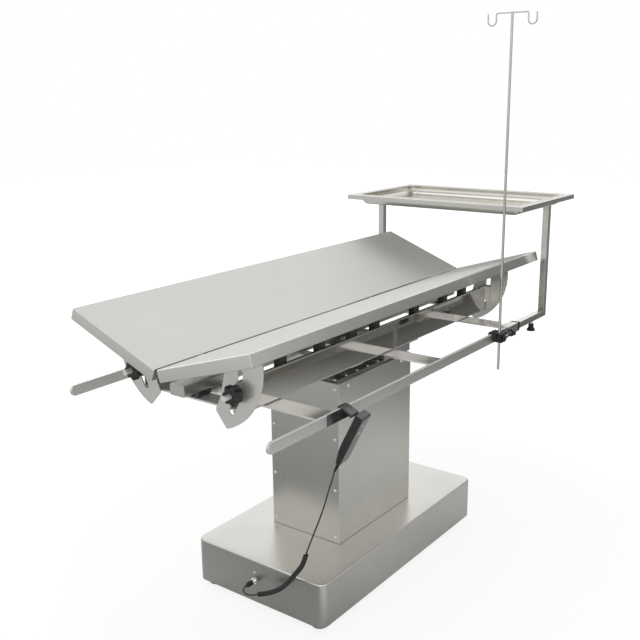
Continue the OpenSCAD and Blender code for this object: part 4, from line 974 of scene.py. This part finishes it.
# The floor is pale all over; what steel mirrors of it falls off to grey along the table, left and
# right, and towards the front
white = (1, 1, 1, 1)
paleFloor = (0.80, 0.80, 0.80, 1)
floorTones = {"x": [(-3.8, 1.0), (-2.8, 0.85), (-2.0, 0.56), (-1.3, 0.50), (-0.85, 0.37), (-0.55, 0.60),
                    (-0.15, 0.93), (0.7, 0.93), (1.2, 0.55), (1.6, 0.33), (1.9, 0.26), (3.2, 0.26),
                    (5.0, 0.9), (6.0, 0.9)],
              "y": [(-3, 0.30), (-1.9, 0.32), (-1.65, 0.42), (-1.45, 0.80), (-1.0, 1.0), (0, 1.0)]}
floorMesh = bpy.data.meshes.new("floor")
floorMesh.from_pydata([(-12, -12, 0), (12, -12, 0), (12, 12, 0), (-12, 12, 0)], [], [(0, 1, 2, 3)])
floor = bpy.data.objects.new("floor", floorMesh)
scene.collection.objects.link(floor)
floorMaterial, tree, shader, _ = newMaterial("floorWhite")
spot = addNode(tree, "TexCoord").outputs["Object"]
apart = addNode(tree, "SeparateXYZ", {0: spot}).outputs
ray = addNode(tree, "LightPath").outputs
mirrored = mixed(tree, 1.0, greySteps(tree, apart["X"], floorTones["x"]),
                 greySteps(tree, apart["Y"], floorTones["y"]), "MULTIPLY")
# The left front quarter, which only the upright corners mirror, is bright
quarter = maths(tree, "MULTIPLY", mapped(tree, apart["X"], -0.30, -0.45),
                mapped(tree, apart["Y"], -0.24, -0.36))
toned = mixed(tree, quarter, mirrored, white)
tree.links.new(mixed(tree, ray["Is Glossy Ray"], paleFloor, toned), shader.inputs["Base Color"])
shader.inputs["Roughness"].default_value = 0.9
shader.inputs["Specular IOR Level"].default_value = 0.1
# Seen directly, the floor turns pure white away from the object
away = addNode(tree, "VectorMath", {0: spot}, operation="LENGTH").outputs["Value"]
glow = addNode(tree, "Emission", {"Color": white, "Strength": mapped(tree, away, 0.9, 2.6, 1.08, 1.30)})
seen = maths(tree, "MULTIPLY", ray["Is Camera Ray"], 0.8)
surface = addNode(tree, "MixShader", {0: seen, 1: shader.outputs[0], 2: glow.outputs[0]})
tree.links.new(surface.outputs[0], tree.nodes["Material Output"].inputs["Surface"])
floor.data.materials.append(floorMaterial)

world = bpy.data.worlds.new("softWorld")
scene.world = world
world.use_nodes = True
tree = world.node_tree
background = tree.nodes["Background"]
direction = addNode(tree, "SeparateXYZ", {0: addNode(tree, "TexCoord").outputs["Generated"]}).outputs
# Soft light for matt surfaces
skyTone = greySteps(tree, direction["Z"], [(-1, 0.55), (-0.05, 0.55), (0.15, 0.65), (0.5, 0.9), (1, 1.0)])
sideTone = greySteps(tree, direction["Y"], [(-1, 0.6), (-0.3, 0.75), (0.3, 1.0), (1, 1.0)])
tree.links.new(mixed(tree, 1.0, skyTone, sideTone, "MULTIPLY"), background.inputs["Color"])
background.inputs["Strength"].default_value = 0.9
# What metal mirrors: the pale backdrop behind the table, and on the near side a greyer room that is
# lighter above
backTone = greySteps(tree, direction["Y"], [(-1, 0.80), (-0.74, 0.72), (-0.6, 0.32), (-0.3, 0.20),
                                            (-0.1, 0.70), (0.1, 1.0), (1, 1.0)])
highTone = greySteps(tree, direction["Z"], [(-1, 0.5), (-0.05, 0.8), (0.1, 1.05), (0.25, 1.12), (0.42, 1.6),
                                            (0.6, 0.80), (0.75, 0.74), (1, 0.66)])
aboveTone = greySteps(tree, direction["Z"], [(-1, 0), (0.17, 0), (0.28, 0.9), (0.5, 0.9), (1, 0.6)])
room = mixed(tree, 1.0, mixed(tree, 1.0, backTone, aboveTone, "LIGHTEN"), highTone, "MULTIPLY")
ray = addNode(tree, "LightPath").outputs
# The camera sees white, gloss and transmission rays see the room's tones, all others the soft light
bright = addNode(tree, "Background", {"Color": mixed(tree, ray["Is Camera Ray"], room, white)})
seen = ray["Is Camera Ray"]
for kind in ("Is Glossy Ray", "Is Transmission Ray"):
    seen = maths(tree, "ADD", seen, ray[kind], True)
surface = addNode(tree, "MixShader", {0: seen, 1: background.outputs[0], 2: bright.outputs[0]})
tree.links.new(surface.outputs[0], tree.nodes["World Output"].inputs["Surface"])


def areaLamp(name, place, target, size, power):
    lamp = bpy.data.lights.new(name, "AREA")
    lamp.shape = "RECTANGLE"
    lamp.size, lamp.size_y = size
    lamp.energy = power
    obj = bpy.data.objects.new(name, lamp)
    scene.collection.objects.link(obj)
    obj.location = place
    obj.rotation_mode = "QUATERNION"
    obj.rotation_quaternion = (Vector(target) - Vector(place)).to_track_quat("-Z", "Y")


areaLamp("topLamp", (0.9, 0.6, 4.2), (0.1, 0, 0.8), (3.5, 3.0), 34)
areaLamp("leftLamp", (-3.6, -2.5, 1.9), (0, 0, 0.5), (1.6, 1.8), 14)

scene.view_settings.view_transform = "Standard"
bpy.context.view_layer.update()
say("done")
